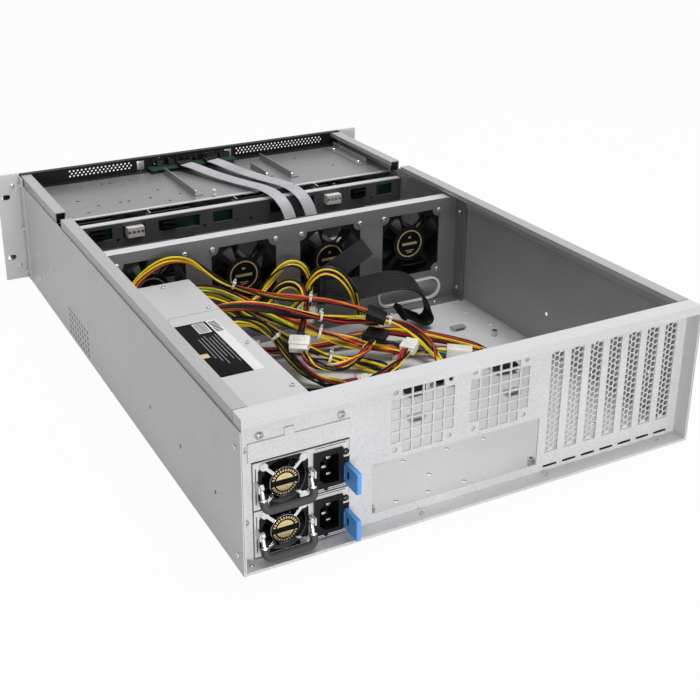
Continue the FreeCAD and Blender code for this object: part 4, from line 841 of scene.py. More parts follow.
@dataclass(frozen=True)
class Plug:
    """A plug at the end of a lead, with its width, length and height and the CAD node it stands for."""

    kind: PlugKind
    size: Point
    finish: Finish
    node: str

    def build(self, name: str, route: Sequence[Point], lean: Optional[Point] = None) -> Piece:
        """Make the plug at the end of a route.

        Args:
            name: The piece's name.
            route: The route, ending at the plug.
            lean: The direction of its width, or None where it is level.

        Returns:
            The piece.
        """
        shell = Shell(plug_frame(route, lean))
        shapes = {
            PlugKind.POWER: self.power_body,
            PlugKind.BOARD: self.board_body,
            PlugKind.DATA: self.data_body,
            PlugKind.STRIP: self.strip_body,
        }
        shapes[self.kind](shell)
        made = shell.piece(name, (self.finish, GREY_PLASTIC), CHASSIS)
        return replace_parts(made, self.node)

    def power_body(self, shell: Shell) -> None:
        """Add a rounded body, a stepped nose, grip bars and four wire collars.

        Args:
            shell: The shell to fill, in the plug's frame.
        """
        width, length, height = self.size
        body = 0.7 * length
        nose = length - body + 1.0
        shell.block((width, body, height), (0, body / 2, 0), 1.3)
        shell.block((width - 2.4, nose, height - 2.0), (0, length - nose / 2, 0), 0.9)
        for share in (0.2, 0.4, 0.6):
            shell.block((0.62 * width, 0.9, 0.8), (0, share * body, height / 2), 0.25)
        shell.at = facing(shell.point(0, 0.4, 0), -shell.at.col[1].xyz)
        for way in (-1.5, -0.5, 0.5, 1.5):
            shell.turned(((1.75, 0.0), (1.75, 1.6), (1.3, 2.0)), (way * width / 4.4, 0), 0, COARSE_ROUND)

    def board_body(self, shell: Shell) -> None:
        """Add a body, two rows of square cells at its mouth and a latch on its top.

        Args:
            shell: The shell to fill, in the plug's frame.
        """
        width, length, height = self.size
        shell.block((width, length - 2.0, height), (0, length / 2 - 1.0, 0), 0.7)
        ways = max(3, round(width / 4.2))
        cell = (width / ways - 0.5, 2.8, height / 2 - 0.7)
        for way in range(ways):
            across = (way - (ways - 1) / 2) * width / ways
            for row in (-0.25, 0.25):
                shell.block(cell, (across, length - 1.4, row * height), 0.35)
        shell.block((0.3 * width, 0.6 * length, 1.2), (0, 0.45 * length, height / 2 + 0.6), 0.4)

    def data_body(self, shell: Shell) -> None:
        """Add a ridged cap and a thin mouth with its tongue inside.

        Args:
            shell: The shell to fill, in the plug's frame.
        """
        width, length, height = self.size
        cap = 0.42 * length
        mouth = length - cap
        middle = cap + mouth / 2
        shell.block((width, cap, height), (0, cap / 2, 0), 0.7)
        for end in (1, -1):
            shell.block((width - 1.6, mouth, 1.3), (0, middle, end * (height / 2 - 1.1)), 0.3)
            shell.block((1.4, mouth, height - 1.6), (end * (width / 2 - 1.5), middle, 0), 0.3)
            for share in (0.2, 0.45, 0.7):
                shell.block((0.7 * width, 0.8, 0.7), (0, share * cap, end * height / 2), 0.2)
        shell.block((width - 8.0, mouth - 2.0, 1.0), (1.5, middle - 1.0, 0), 0.2, 1)

    def strip_body(self, shell: Shell) -> None:
        """Add a socket strip, the bar that clamps the cable to it and a key.

        Args:
            shell: The shell to fill, in the plug's frame.
        """
        width, length, height = self.size
        shell.block((width, length, height), (0, length / 2, 0), 0.5)
        shell.block((width - 1.0, 0.5 * length, 1.6), (0, 0.3 * length, height / 2), 0.5)
        shell.block((3.6, 0.4 * length, 1.0), (0, 0.75 * length, height / 2), 0.25)


@dataclass(frozen=True)
class Lead(ABC):
    """A loose lead, with its real length and its route as in the part's source."""

    name: str
    node: str
    length: float
    route: Sequence[Point]

    STEPS = 8

    @abstractmethod
    def build(self) -> None:
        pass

    def line(self) -> list[Vector]:
        """Return points on the smooth spline of the route.

        Returns:
            The points in metres, in order.
        """
        curve = bpy.data.curves.new(self.name + "_line", "CURVE")
        curve.dimensions = "3D"
        curve.resolution_u = self.STEPS
        spline = curve.splines.new("NURBS")
        spline.points.add(len(self.route) - 1)
        for point, place in zip(spline.points, self.route):
            point.co = (*spot(*place), 1.0)
        spline.order_u = 3
        spline.use_endpoint_u = True
        holder = link(self.name + "_line", curve)
        drawn = bpy.data.meshes.new_from_object(holder)
        line = [vert.co.copy() for vert in drawn.vertices]
        bpy.data.objects.remove(holder)
        bpy.data.curves.remove(curve)
        bpy.data.meshes.remove(drawn)
        return line

    def declare(
        self, made: Piece, line: list[Vector], diameter: float, end: str, held: list[Piece]
    ) -> None:
        """Args:
            made: The lead's piece.
            line: Its middle line; not used.
            diameter: Its diameter or width; not used.
            end: What is at its far end; not used.
            held: The pieces that go with it; not used.
        """
        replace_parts(made, self.node)


@dataclass(frozen=True)
class WireLead(Lead):
    """A loose bundle of wires that ends in a plug, with ties at shares of its length.

    The radius is that of one wire, and loose says how far the wires stand apart, as a share of the
    bundle's radius.
    """

    diameter: float
    wires: Sequence[Wire]
    plug: Plug
    ties: Sequence[float] = ()
    radius: float = 1.1
    loose: float = 1.5

    TWIST = (0.5, 1.1)
    PACE = (0.8, 1.9)
    SEAT_FROM = 0.86
    SEAT_RUN = 0.13
    SEAT_PITCH = 1.9
    SEAT_LIFT = 2.2
    SEAT_MARGIN = 0.6
    TWO_ROWS_BELOW = 10
    CORE = 0.6
    LIMIT_SHARE = 0.65
    LIMIT_MORE = 1.6
    PINCH = 0.45
    PINCH_REACH = 0.06
    SWAY = 0.4
    SWAY_PACE = 7.0
    BREATH = 0.3
    TIE_BAND = 2.6
    TIE_THICK = 0.9
    TIE_STEPS = 28
    TIE_GRIP = 0.95
    TIE_SLACK = 0.4
    TIE_HEAD_OUT = 1.4
    TIE_TAIL_OUT = (1.8, 3.6)
    TIE_HEAD = (3.8, 3.2, 3.6)
    TIE_TAIL = (0.9, 5.0, 2.4)
    TIE_TAIL_TURN = 0.5

    def build(self) -> None:
        line = self.line()
        shell = Shell()
        palette = list(dict.fromkeys(self.wires))
        dice = random.Random(self.name)
        for order, wire in enumerate(self.wires):
            shell.tube(self.wire_line(line, order, dice), self.radius, palette.index(wire))
        made = shell.piece(self.name, [wire.value for wire in palette], CHASSIS)
        held = [self.plug.build(self.name + "_plug", self.route)]
        held += [self.tie(line, place, count) for count, place in enumerate(self.ties, 1)]
        self.declare(made, line, self.diameter, "plug", held)

    def seat(self, order: int, limit: float) -> Vector:
        """Return where a wire sits in the rows at the plug, from the bundle's middle.

        Args:
            order: The wire's number.
            limit: The farthest that a wire may stand out.

        Returns:
            The offset in millimetres.
        """
        count = len(self.wires)
        rows = 2 if count < self.TWO_ROWS_BELOW else 3
        half_row = (math.ceil(count / rows) - 1) / 2
        pitch = min(self.SEAT_PITCH * self.radius, (limit - self.SEAT_MARGIN * rows) / half_row)
        lift = (order % rows - (rows - 1) / 2) * self.SEAT_LIFT * self.radius
        entry = plug_frame(self.route)
        return entry.col[0].xyz * (order // rows - half_row) * pitch + entry.col[2].xyz * lift

    def wire_line(self, line: Sequence[Vector], order: int, dice: random.Random) -> list[Vector]:
        """Return the line of one wire inside the bundle.

        Args:
            line: The bundle's middle line.
            order: The wire's number.
            dice: The source of its small differences.

        Returns:
            The wire's points.
        """
        reach = self.loose * self.diameter / 2 * math.sqrt((order + self.CORE) / len(self.wires))
        twist = dice.uniform(*self.TWIST)
        phase = dice.uniform(0.0, FULL_TURN)
        pace = dice.uniform(*self.PACE)
        limit = self.LIMIT_SHARE * self.diameter + self.LIMIT_MORE - self.radius
        seat = self.seat(order, limit)
        wire = []
        for point, share, _, side, other in stations(line):
            angle = order * GOLDEN_TURN + FULL_TURN * twist * share
            angle += self.SWAY * math.sin(self.SWAY_PACE * share + phase)
            spread = reach * (1.0 + self.BREATH * math.sin(FULL_TURN * pace * share + phase))
            for place in self.ties:
                spread *= 1.0 - self.PINCH * math.exp(-(((share - place) / self.PINCH_REACH) ** 2))
            offset = (side * math.cos(angle) + other * math.sin(angle)) * min(spread, limit)
            offset = offset.lerp(seat, smooth_step((share - self.SEAT_FROM) / self.SEAT_RUN))
            wire.append(point + offset * MM)
        return wire

    def tie(self, line: Sequence[Vector], place: float, count: int) -> Piece:
        """Make one nylon tie round the bundle.

        Args:
            line: The bundle's middle line.
            place: Its place as a share of the length.
            count: Its number on the lead.

        Returns:
            The piece.
        """
        middle, _, run, _, _ = min(stations(line), key=lambda station: abs(station[1] - place))
        at = facing(middle, run, Vector((0.2, 0.1, 1.0)))
        shell = Shell(at @ Matrix.Translation((0, 0, -self.TIE_BAND / 2 * MM)))
        radius = self.diameter / 2 * self.TIE_GRIP + self.TIE_SLACK
        shell.hoop((radius, radius + self.TIE_THICK), self.TIE_BAND, (0, 0), 0, self.TIE_STEPS)
        shell.at = at
        shell.block(self.TIE_HEAD, (0, radius + self.TIE_HEAD_OUT, 0), 0.5)
        aside, out = self.TIE_TAIL_OUT
        tail = Matrix.Translation(Vector((aside, radius + out, 0)) * MM)
        shell.at = at @ tail @ Matrix.Rotation(self.TIE_TAIL_TURN, 4, "Z")
        shell.block(self.TIE_TAIL, (0, 0, 0), 0.3)
        return shell.piece(f"{self.name}_tie_{count}", (WHITE_NYLON,), CHASSIS)


@dataclass(frozen=True)
class FlatLead(Lead):
    """A flat cable of wires side by side, whose width turns from one lean to the next along it."""

    width: float
    thick: float
    wires: int
    finishes: tuple[Finish, Finish]
    ends: tuple[Plug, Plug]
    leans: Sequence[Point]

    CREST = (165.0, 130.0, 100.0, 55.0, 15.0)
    LAST_SHARE = 0.9999
    SHARP = 80.0

    def lean_at(self, share: float) -> Vector:
        """Return the direction of the width at a share of the length."""
        step = min(share, self.LAST_SHARE) * (len(self.leans) - 1)
        return Vector(self.leans[int(step)]).lerp(Vector(self.leans[int(step) + 1]), step % 1.0)

    def section(self) -> list[Place]:
        """Return the scalloped section.

        Returns:
            Its corners across and up, going round.
        """
        pitch = self.width / self.wires
        upper = []
        for wire in range(self.wires):
            middle = (wire - (self.wires - 1) / 2) * pitch
            for turn in map(math.radians, self.CREST):
                up = self.thick / 2 * (0.2 + 0.8 * math.sin(turn))
                upper.append((middle + pitch / 2 * math.cos(turn), up))
        return upper + [(across, -up) for across, up in reversed(upper)]

    def build(self) -> None:
        line = self.line()
        section = self.section()
        rings = []
        for point, share, run, _, _ in stations(line):
            across = self.lean_at(share)
            across = (across - run * across.dot(run)).normalized()
            rise = run.cross(across)
            rings.append([point + (across * over + rise * up) * MM for over, up in section])
        shell = Shell()
        shell.loft(rings)
        # The faces beside each wire's crest take the second finish: a painted highlight on the black flat
        # cables, painted shade on the grey ribbons.
        sides = [face for face in shell.mesh.faces if len(face.verts) == 4]
        for face in sides[1::len(self.CREST)]:
            face.material_index = 1
        made = shell.piece(self.name, self.finishes, CHASSIS, self.SHARP)
        start, stop = self.ends
        held = [
            start.build(self.name + "_start", self.route[1::-1], self.leans[0]),
            stop.build(self.name + "_stop", self.route, self.leans[-1]),
        ]
        self.declare(made, line, self.width, "connector", held)


class Loom:
    """All the loose leads of the case."""

    POWER = Plug(PlugKind.POWER, (21, 17, 9), WHITE_NYLON, "nylon_plugs")
    FOUR_WAY = Plug(PlugKind.POWER, (16, 18, 9), WHITE_NYLON, "nylon_plugs")
    BOARD_A = Plug(PlugKind.BOARD, (14, 26, 11), WHITE_NYLON, "nylon_plugs")
    BOARD_B = Plug(PlugKind.BOARD, (18, 24, 11), BLACK_PLASTIC, "data_plugs")
    DATA = Plug(PlugKind.DATA, (24, 20, 7), BLACK_PLASTIC, "data_plugs")
    SHORT_DATA = Plug(PlugKind.DATA, (24, 18, 7), BLACK_PLASTIC, "data_plugs")
    FLAT_END = Plug(PlugKind.STRIP, (27, 7, 6), BLACK_PLASTIC, "data_plugs")
    RIBBON_START = Plug(PlugKind.STRIP, (19, 6, 5), BLACK_PLASTIC, "data_plugs")
    RIBBON_STOP = Plug(PlugKind.STRIP, (20, 6, 7), BLACK_PLASTIC, "data_plugs")
    RIBBON_RUN = (
        (0, 122.6), (14, 122.4), (36, 120.0), (64, 118.6), (94, 118.4), (122, 119.4), (142, 116.5),
        (157, 107), (166, 91), (169, 71), (170, 50), (174, 31), (185, 16), (201, 9),
    )
    RIBBON_AT = 24.0

    def wire_leads(self) -> list[WireLead]:
        """Return the wire leads.

        Returns:
            The leads that start at the power supply, and the one that joins two plugs.
        """
        yellow, red, orange, black = Wire.YELLOW, Wire.RED, Wire.ORANGE, Wire.BLACK
        main_wires = (yellow, black, red, yellow, orange, black, yellow) * 3 + (Wire.BLUE, Wire.GREEN)
        processor_wires = (yellow, black) * 6
        drive_wires = (yellow, black, red, black, yellow, red, black, yellow, black, yellow, black)
        yellow_wires = (yellow, black, yellow, red, yellow, black, yellow, black)
        arch_wires = (yellow, red, yellow, orange, black)
        five_wires = (red, black, yellow, black, orange, yellow, red, black, yellow, black, red)
        three_wires = (red, black, yellow, black, red, black, yellow, black)
        return [
            WireLead("board_lead_a", "board_leads", 272, (
                (119, 318, 80), (100, 321, 79), (82, 333, 71), (60, 350, 60), (36, 365, 48), (10, 378, 36),
                (-16, 388, 27), (-44, 396, 18), (-74, 402, 12), (-98, 412, 9), (-116, 424, 8),
            ), 9.0, main_wires, self.BOARD_A, (0.5,), 1.05, 1.4),
            WireLead("board_lead_b", "board_leads", 231, (
                (119, 334, 76), (101, 338, 72), (84, 350, 62), (64, 366, 47), (42, 381, 32), (16, 394, 20),
                (-12, 406, 12), (-34, 422, 8), (-43, 441, 7.5), (-44, 459, 8),
            ), 9.0, processor_wires, self.BOARD_B, (0.62,), 1.15, 1.3),
            WireLead("drive_lead_a", "drive_leads", 270, (
                (180, 307, 80), (177, 300, 91), (160, 299, 104), (139, 300, 113), (117, 304, 110),
                (103, 312, 98), (90, 322, 87), (70, 335, 79), (46, 349, 73), (19, 361, 70), (-8, 372, 66),
                (-27, 382, 61), (-40, 391, 55),
            ), 4.4, arch_wires, self.DATA, (0.48, 0.78)),
            WireLead("drive_lead_b", "drive_leads", 273, (
                (119, 319, 52), (98, 320, 46), (72, 322, 38), (44, 324, 34), (20, 328, 41), (3, 332, 57),
                (-4, 333, 75), (-16, 338, 87), (-32, 347, 83), (-43, 355, 65), (-48, 355, 45),
                (-54, 352, 28), (-65, 347, 16), (-80, 341, 11.5),
            ), 5.4, yellow_wires, self.POWER, (0.3,)),
            WireLead("drive_lead_c", "drive_leads", 186, (
                (119, 350, 56), (98, 352, 52), (76, 346, 48), (56, 338, 52), (41, 334, 63), (31, 334, 75),
                (19, 338, 79), (11, 346, 73), (12, 358, 63), (20, 370, 56), (29, 382, 49), (36, 392, 43),
            ), 5.4, three_wires, self.POWER, (0.35,)),
            WireLead("drive_lead_d", "drive_leads", 170, (
                (119, 364, 60), (100, 367, 62), (82, 371, 62), (67, 377, 55), (58, 386, 42), (50, 396, 27),
                (42, 410, 15), (32, 426, 9), (16, 437, 7), (-2, 440, 7),
            ), 6.6, drive_wires, self.FOUR_WAY, (0.4,)),
            WireLead("drive_lead_e", "drive_leads", 39, (
                (119, 344, 34), (106, 350, 33), (97, 359, 34), (90, 369, 36),
            ), 5.4, three_wires, self.POWER),
            WireLead("drive_lead_f", "drive_leads", 224, (
                (119, 376, 40), (106, 384, 34), (95, 398, 24), (84, 415, 14), (68, 432, 9), (46, 446, 8),
                (22, 455, 9), (-2, 458, 12), (-24, 456, 17), (-44, 448, 22), (-60, 436, 26),
            ), 6.6, drive_wires, self.FOUR_WAY, (0.7,)),
            WireLead("drive_lead_g", "drive_leads", 182, (
                (119, 327, 64), (102, 327, 61), (84, 328, 57), (66, 325, 56), (49, 319, 61), (36, 315, 71),
                (24, 313, 83), (10, 313, 90), (-4, 315, 86), (-11, 318, 73), (-11, 322, 57), (-5, 327, 43),
            ), 5.4, yellow_wires, self.POWER, (0.28,)),
            WireLead("data_lead_a", "data_leads", 281, (
                (119, 357, 76), (98, 361, 77), (76, 367, 75), (50, 374, 68), (22, 378, 58), (-6, 378, 49),
                (-32, 379, 44), (-56, 384, 41), (-78, 396, 35), (-92, 416, 25), (-94, 440, 15),
                (-86, 460, 11),
            ), 6.6, five_wires, self.DATA, (0.42, 0.7)),
            WireLead("data_lead_b", "data_leads", 335, (
                (119, 330, 26), (98, 332, 19), (72, 338, 13), (44, 344, 9), (14, 350, 8), (-16, 356, 9),
                (-44, 362, 14), (-70, 370, 18), (-96, 384, 16), (-122, 399, 11), (-145, 420, 8),
                (-156, 444, 8), (-152, 466, 8),
            ), 6.6, five_wires, self.DATA, (0.55,)),
            WireLead("data_lead_c", "data_leads", 102, (
                (43, 412, 36), (42, 424, 31), (33, 435, 28), (16, 440, 27), (-3, 434, 28), (-20, 424, 31),
                (-34, 413, 34),
            ), 5.4, three_wires, self.SHORT_DATA),
        ]

    def flat_leads(self) -> list[FlatLead]:
        """Return the black flat cables and the grey ribbons.

        Returns:
            The cables.
        """
        black = (2.4, 13, (FLAT_BLACK, FLAT_HIGHLIGHT), (self.FLAT_END, self.FLAT_END))
        grey = (1.2, 12, (RIBBON_GREY, RIBBON_SHADE), (self.RIBBON_START, self.RIBBON_STOP))
        made = [
            FlatLead("flat_cable_a", "flat_cables", 128, (
                (-24, 318, 64.7), (-38.2, 322.4, 75), (-52.9, 325.5, 84.8), (-66.5, 327.4, 93.2),
                (-76, 324.8, 96.3), (-80.5, 318.3, 94.2), (-76.8, 312, 88), (-64.3, 308, 78.8),
                (-50.5, 304.6, 69.4), (-37.1, 302.2, 60.9),
            ), 21.0, *black, ((-0.394, 0.515, -0.761), (-0.394, 0.515, -0.761))),
            FlatLead("flat_cable_b", "flat_cables", 189, (
                (-18, 339.5, 62), (-33, 340, 59.5), (-49.2, 340.5, 58.6), (-69.2, 341.5, 59),
                (-88.2, 342, 60.4), (-106.6, 342.5, 59.4), (-122.8, 343, 53.6), (-134, 343.8, 41.8),
                (-140.8, 345, 26.8), (-143.2, 346.7, 13.9), (-136.4, 348.5, 8.3), (-123.4, 349.5, 15),
                (-110, 348, 22.4),
            ), 24.0, *black, (
                (0.165, 0.315, -0.935), (0.17, 0.6, -0.78), (0.2, 0.95, -0.2), (0.2, 0.96, -0.1),
            )),
        ]
        ribbons = (("ribbon_a", 287, 12.5, -0.39), ("ribbon_b", 284, -23.0, -0.34))
        for name, length, across, sway in ribbons:
            route = tuple((across + sway * run, self.RIBBON_AT + run, up) for run, up in self.RIBBON_RUN)
            leans = ((1.0, -sway, 0.0), (1.0, -sway, 0.0))
            made.append(FlatLead(name, "ribbon_cables", length, route, 18.0, *grey, leans))
        return made

    def build(self) -> None:
        """Make every lead."""
        for lead in self.wire_leads() + self.flat_leads():
            lead.build()


@dataclass(frozen=True)
class FanWall:
    """The stickers of the four case fans: a black disc with a gold ring and gold bars."""

    pitch: float = 101.6
    up: float = 75.0
    plate_back: float = 288.5
    ring: Place = (14.4, 16.0)
    rim: float = 0.7

    FANS = 4
    BARS = ((1.8, 6.4, 8.6), (9.6, -1.5, 1.5), (5.2, -8.4, -7.4), (3.2, -10.6, -9.6))

    def build(self) -> None:
        """Put a round sticker on each motor plate."""
        for fan in range(self.FANS):
            across = ((self.FANS - 1) / 2 - fan) * self.pitch
            shell = Shell(facing(spot(across, self.plate_back, self.up), REAR))
            shell.disc(self.ring[1] + self.rim, STOCK, (0, 0), 0, FINE_ROUND)
            shell.hoop(self.ring, PRINTED, (0, 0), 1, FINE_ROUND)
            for half, low, high in self.BARS:
                shell.plate(((-half, low), (half, low), (half, high), (-half, high)), PRINTED, 1)
            shell.piece(f"fan_sticker_{fan + 1}", (BLACK_FOIL, GOLD_FOIL), CHASSIS)


def disc_band(radius: float, low: float, high: float, steps: int = 12) -> list[Place]:
    """Return the outline of the part of a disc between two levels.

    Args:
        radius: The disc's radius.
        low: The lower level.
        high: The upper level.
        steps: Points along each round side.

    Returns:
        The outline, going round.
    """
    levels = [low + (high - low) * step / steps for step in range(steps + 1)]
    right = [(math.sqrt(max(CENTRE_HOLE ** 2, radius ** 2 - level ** 2)), level) for level in levels]
    return right + [(-across, level) for across, level in reversed(right)]


@dataclass(frozen=True)
class SupplyModule:
    """What is on the rear of one plug-in supply module."""

    number: int
    middle: float
    back: float
    fan_across: float = 176.0
    inlet_across: float = 139.1
    guard_thick: float = 2.2
    frame_half: Place = (20.4, 19.2)
    frame_corner: float = 23.6
    frame_bore: float = 18.5
    frame_layer: Place = (0.02, 0.3)

    SIDE_SEAM = ((0.7, 0.3, 31.0), (198.3, 0.0, 0.0))
    UPPER_SEAM = ((26.0, 0.3, 0.6), (137.0, 0.0, 18.6))
    LOWER_SEAM = ((26.0, 0.3, 0.6), (137.0, 0.0, -18.6))
    LATCH_SLOT = (0.16, 2.6, 6.0)
    LATCH_SIDES = (124.9, 120.9)
    LATCH_SLOT_AT = (6.4, -7.4)
    BLADE = (4.1, 13.2, 2.1)
    BLADE_PLACES = ((-2.0, 7.0), (-2.0, -7.0), (2.0, 0.0))
    BLADE_IN = 9.0
    LAMP_AT = (123.9, 10.2)
    EYELET_AT = (140.5, -17.6)
    MOUTH_AT = (123.6, 3.2)
    LAMP_DOME = ((2.0, 0.0), (2.0, 0.5), (1.6, 1.0), (0.9, 1.3), (0.02, 1.4))
    STICKER_RADIUS = 11.7
    BANDS_RADIUS = 7.4
    BANDS = ((2.4, 7.3), (-7.3, -2.4))
    MARKS = 28
    MARK = (1.9, 1.2, 0.2)
    MARK_AT = (9.6, 0.0, 0.12)
    LAMP_RING = (2.0, 2.8)
    EYELET_RING = (1.3, 1.8)
    MOUTH = (6.4, 4.6, 0.3)

    def build(self) -> None:
        """Dress the module."""
        self.fan_frame()
        self.sticker()
        self.latch_slot_shade()
        self.inlet_blades()
        self.lamp_and_hole()

    def finish(self, shell: Shell, name: str, *finishes: Finish, body: str = "psu_module") -> None:
        """Finish a piece that rides on one of the module's bodies."""
        shell.piece(f"{name}_{self.number}", finishes, f"{body}_{self.number}")

    def rear_frame(self, across: float, out: float = 0.0) -> Matrix:
        """Return a frame that looks to the rear at the height of the module's middle."""
        return facing(spot(across, self.back + out, self.middle), REAR)

    def fan_frame(self) -> None:
        """Show the black square frame of the fan round its bore, and the seams of the case."""
        shell = Shell(self.rear_frame(self.fan_across))
        low, high = self.frame_layer
        rings = []
        for x, y in circle(FINE_ROUND, 0.5):
            straight = min(self.frame_half[0] / abs(x), self.frame_half[1] / abs(y))
            diagonal = math.atan2(y, x) % (math.pi / 2) - math.pi / 4
            outer = min(straight, self.frame_corner / math.cos(diagonal))
            section = ((self.frame_bore, low), (outer, low), (outer, high), (self.frame_bore, high))
            rings.append([shell.point(x * radius, y * radius, up) for radius, up in section])
        shell.loft(rings, 0, round_trip=True)
        shell.at = Matrix.Translation(spot(0.0, self.back, self.middle))
        for size, place in (self.SIDE_SEAM, self.UPPER_SEAM, self.LOWER_SEAM):
            shell.block(size, place, 0.1)
        self.finish(shell, "module_fan_frame", BLACK_PLASTIC)

    def latch_slot_shade(self) -> None:
        """Put painted shade in the narrow slot on both faces of the latch."""
        # Painted shade: a thin dark plate in the slot on each face.
        shell = Shell()
        out, up = self.LATCH_SLOT_AT
        for across in self.LATCH_SIDES:
            shell.block(self.LATCH_SLOT, (across, self.back + out, self.middle + up), 0.07)
        self.finish(shell, "latch_slot_shade", BLACK_PLASTIC, body="psu_latch")

    def sticker(self) -> None:
        """Put the round two-tone sticker on the guard's middle disc."""
        at = self.rear_frame(self.fan_across, self.guard_thick)
        shell = Shell(at)
        shell.disc(self.STICKER_RADIUS, STOCK, (0, 0), 0, FINE_ROUND)
        for low, high in self.BANDS:
            shell.plate(disc_band(self.BANDS_RADIUS, low, high), PRINTED, 1)
        for step in range(self.MARKS):
            if step % (self.MARKS // 2) > 1:
                shell.at = at @ Matrix.Rotation(FULL_TURN * (step - 0.5) / self.MARKS, 4, "Z")
                shell.block(self.MARK, self.MARK_AT, 0.06, 1)
        self.finish(shell, "module_sticker", BLACK_FOIL, GOLD_FOIL)

    def inlet_blades(self) -> None:
        """Put bright caps on the three blades inside the inlet."""
        shell = Shell(Matrix.Translation(spot(self.inlet_across, self.back - self.BLADE_IN, self.middle)))
        for across, up in self.BLADE_PLACES:
            shell.block(self.BLADE, (across, 0, up), 0.5)
        self.finish(shell, "inlet_blades", SCREW_STEEL)

    def lamp_and_hole(self) -> None:
        """Add the status lamp beside the inlet, painted shade in the latch's mouth, and the eyelet with
        painted shade in its hole.
        """
        shell = Shell(self.rear_frame(0.0))
        places = (self.LAMP_AT, self.MOUTH_AT, self.EYELET_AT)
        lamp, mouth, eyelet = ((-across, up) for across, up in places)
        shell.hoop(self.LAMP_RING, 0.7, lamp, 1, SMALL_ROUND)
        shell.turned(self.LAMP_DOME, lamp, 0, SMALL_ROUND)
        # Painted shade: a dark block in the latch's mouth.
        shell.block(self.MOUTH, (*mouth, 0.0), 0.1, 1)
        shell.hoop(self.EYELET_RING, 0.3, eyelet, 1, SMALL_ROUND)
        # Painted shade: a dark disc in the eyelet's hole.
        shell.disc(self.EYELET_RING[0], 0.08, eyelet, 1, SMALL_ROUND)
        self.finish(shell, "status_lamp", LENS, BLACK_PLASTIC)


@dataclass(frozen=True)
class PowerSupply:
    """The two plug-in modules, painted shade in the gaps round them and the label on their cage."""

    back: float = 647.0
    middles: Place = (23.4, 64.4)
    lid_up: float = 90.0
    bay_sides: Place = (200.95, 120.15)
    bay_floor: float = 3.0
    bay_top: float = 85.2
    gap_in: float = 1.6
    side_gap: float = 0.48
    gaps: tuple[Place, Place] = ((43.3, 44.5), (84.3, 85.2))

    PRINT = 0.22
    LABEL = (
        ((142.5, 176.5), (410, 521), 0, STOCK),
        ((132.5, 142.5), (410, 521), 1, STOCK),
        ((145, 157), (412, 434), 1, PRINT),
        ((166, 173), (474, 482), 2, PRINT),
    )
    RULES_FROM = 145
    RULE_PITCH = 3.4
    RULE_WIDE = 0.7
    RULE_ENDS = ((440, 500), (442.5, 493), (445, 486)) * 2
    BARS = (((134, 141), (413, 414.6), 3.0, PRINT), ((146, 156), (413.4, 414.6), 2.5, 0.28))
    BAR_COUNT = 8

    def build(self) -> None:
        """Dress both modules, the bay and the lid."""
        for number, middle in enumerate(self.middles, 1):
            SupplyModule(number, middle, self.back).build()
        self.bay_gap_shade()
        self.lid_label()

    def bay_gap_shade(self) -> None:
        """Put painted shade in the gaps between the modules and the edge of their bay."""
        left, right = self.bay_sides
        along = self.back - self.gap_in
        middle = (left + right) / 2
        # Painted shade: dark strips set inside the gaps.
        shell = Shell()
        for low, high in self.gaps:
            shell.block((left - right, 0.4, high - low), (middle, along, (low + high) / 2), 0.05)
        side = (self.side_gap, 0.3, self.bay_top - self.bay_floor)
        for across in (left - self.side_gap / 2, right + self.side_gap / 2 + 0.1):
            shell.block(side, (across, along, (self.bay_top + self.bay_floor) / 2), 0.05)
        shell.piece("bay_gap_shade", (BLACK_PLASTIC,), CHASSIS)

    def lid_label(self) -> None:
        """Put the rating label's bare stock on the lid: a black field, a white strip and plain rules."""
        patches = list(self.LABEL)
        for rule, ends in enumerate(self.RULE_ENDS):
            left = self.RULES_FROM + self.RULE_PITCH * rule
            patches.append(((left, left + self.RULE_WIDE), ends, 3, self.PRINT))
        for step in range(self.BAR_COUNT):
            for sides, (front, rear), pitch, thick in self.BARS:
                patches.append((sides, (front + pitch * step, rear + pitch * step), 0, thick))
        shell = Shell()
        for (left, right), (front, rear), index, thick in patches:
            middle = ((left + right) / 2, (front + rear) / 2, self.lid_up + thick / 2)
            shell.block((right - left, rear - front, thick), middle, 0.05, index)
        shell.piece("lid_label", (BLACK_FOIL, WHITE_PAPER, GOLD_FOIL, GREY_INK), CHASSIS)


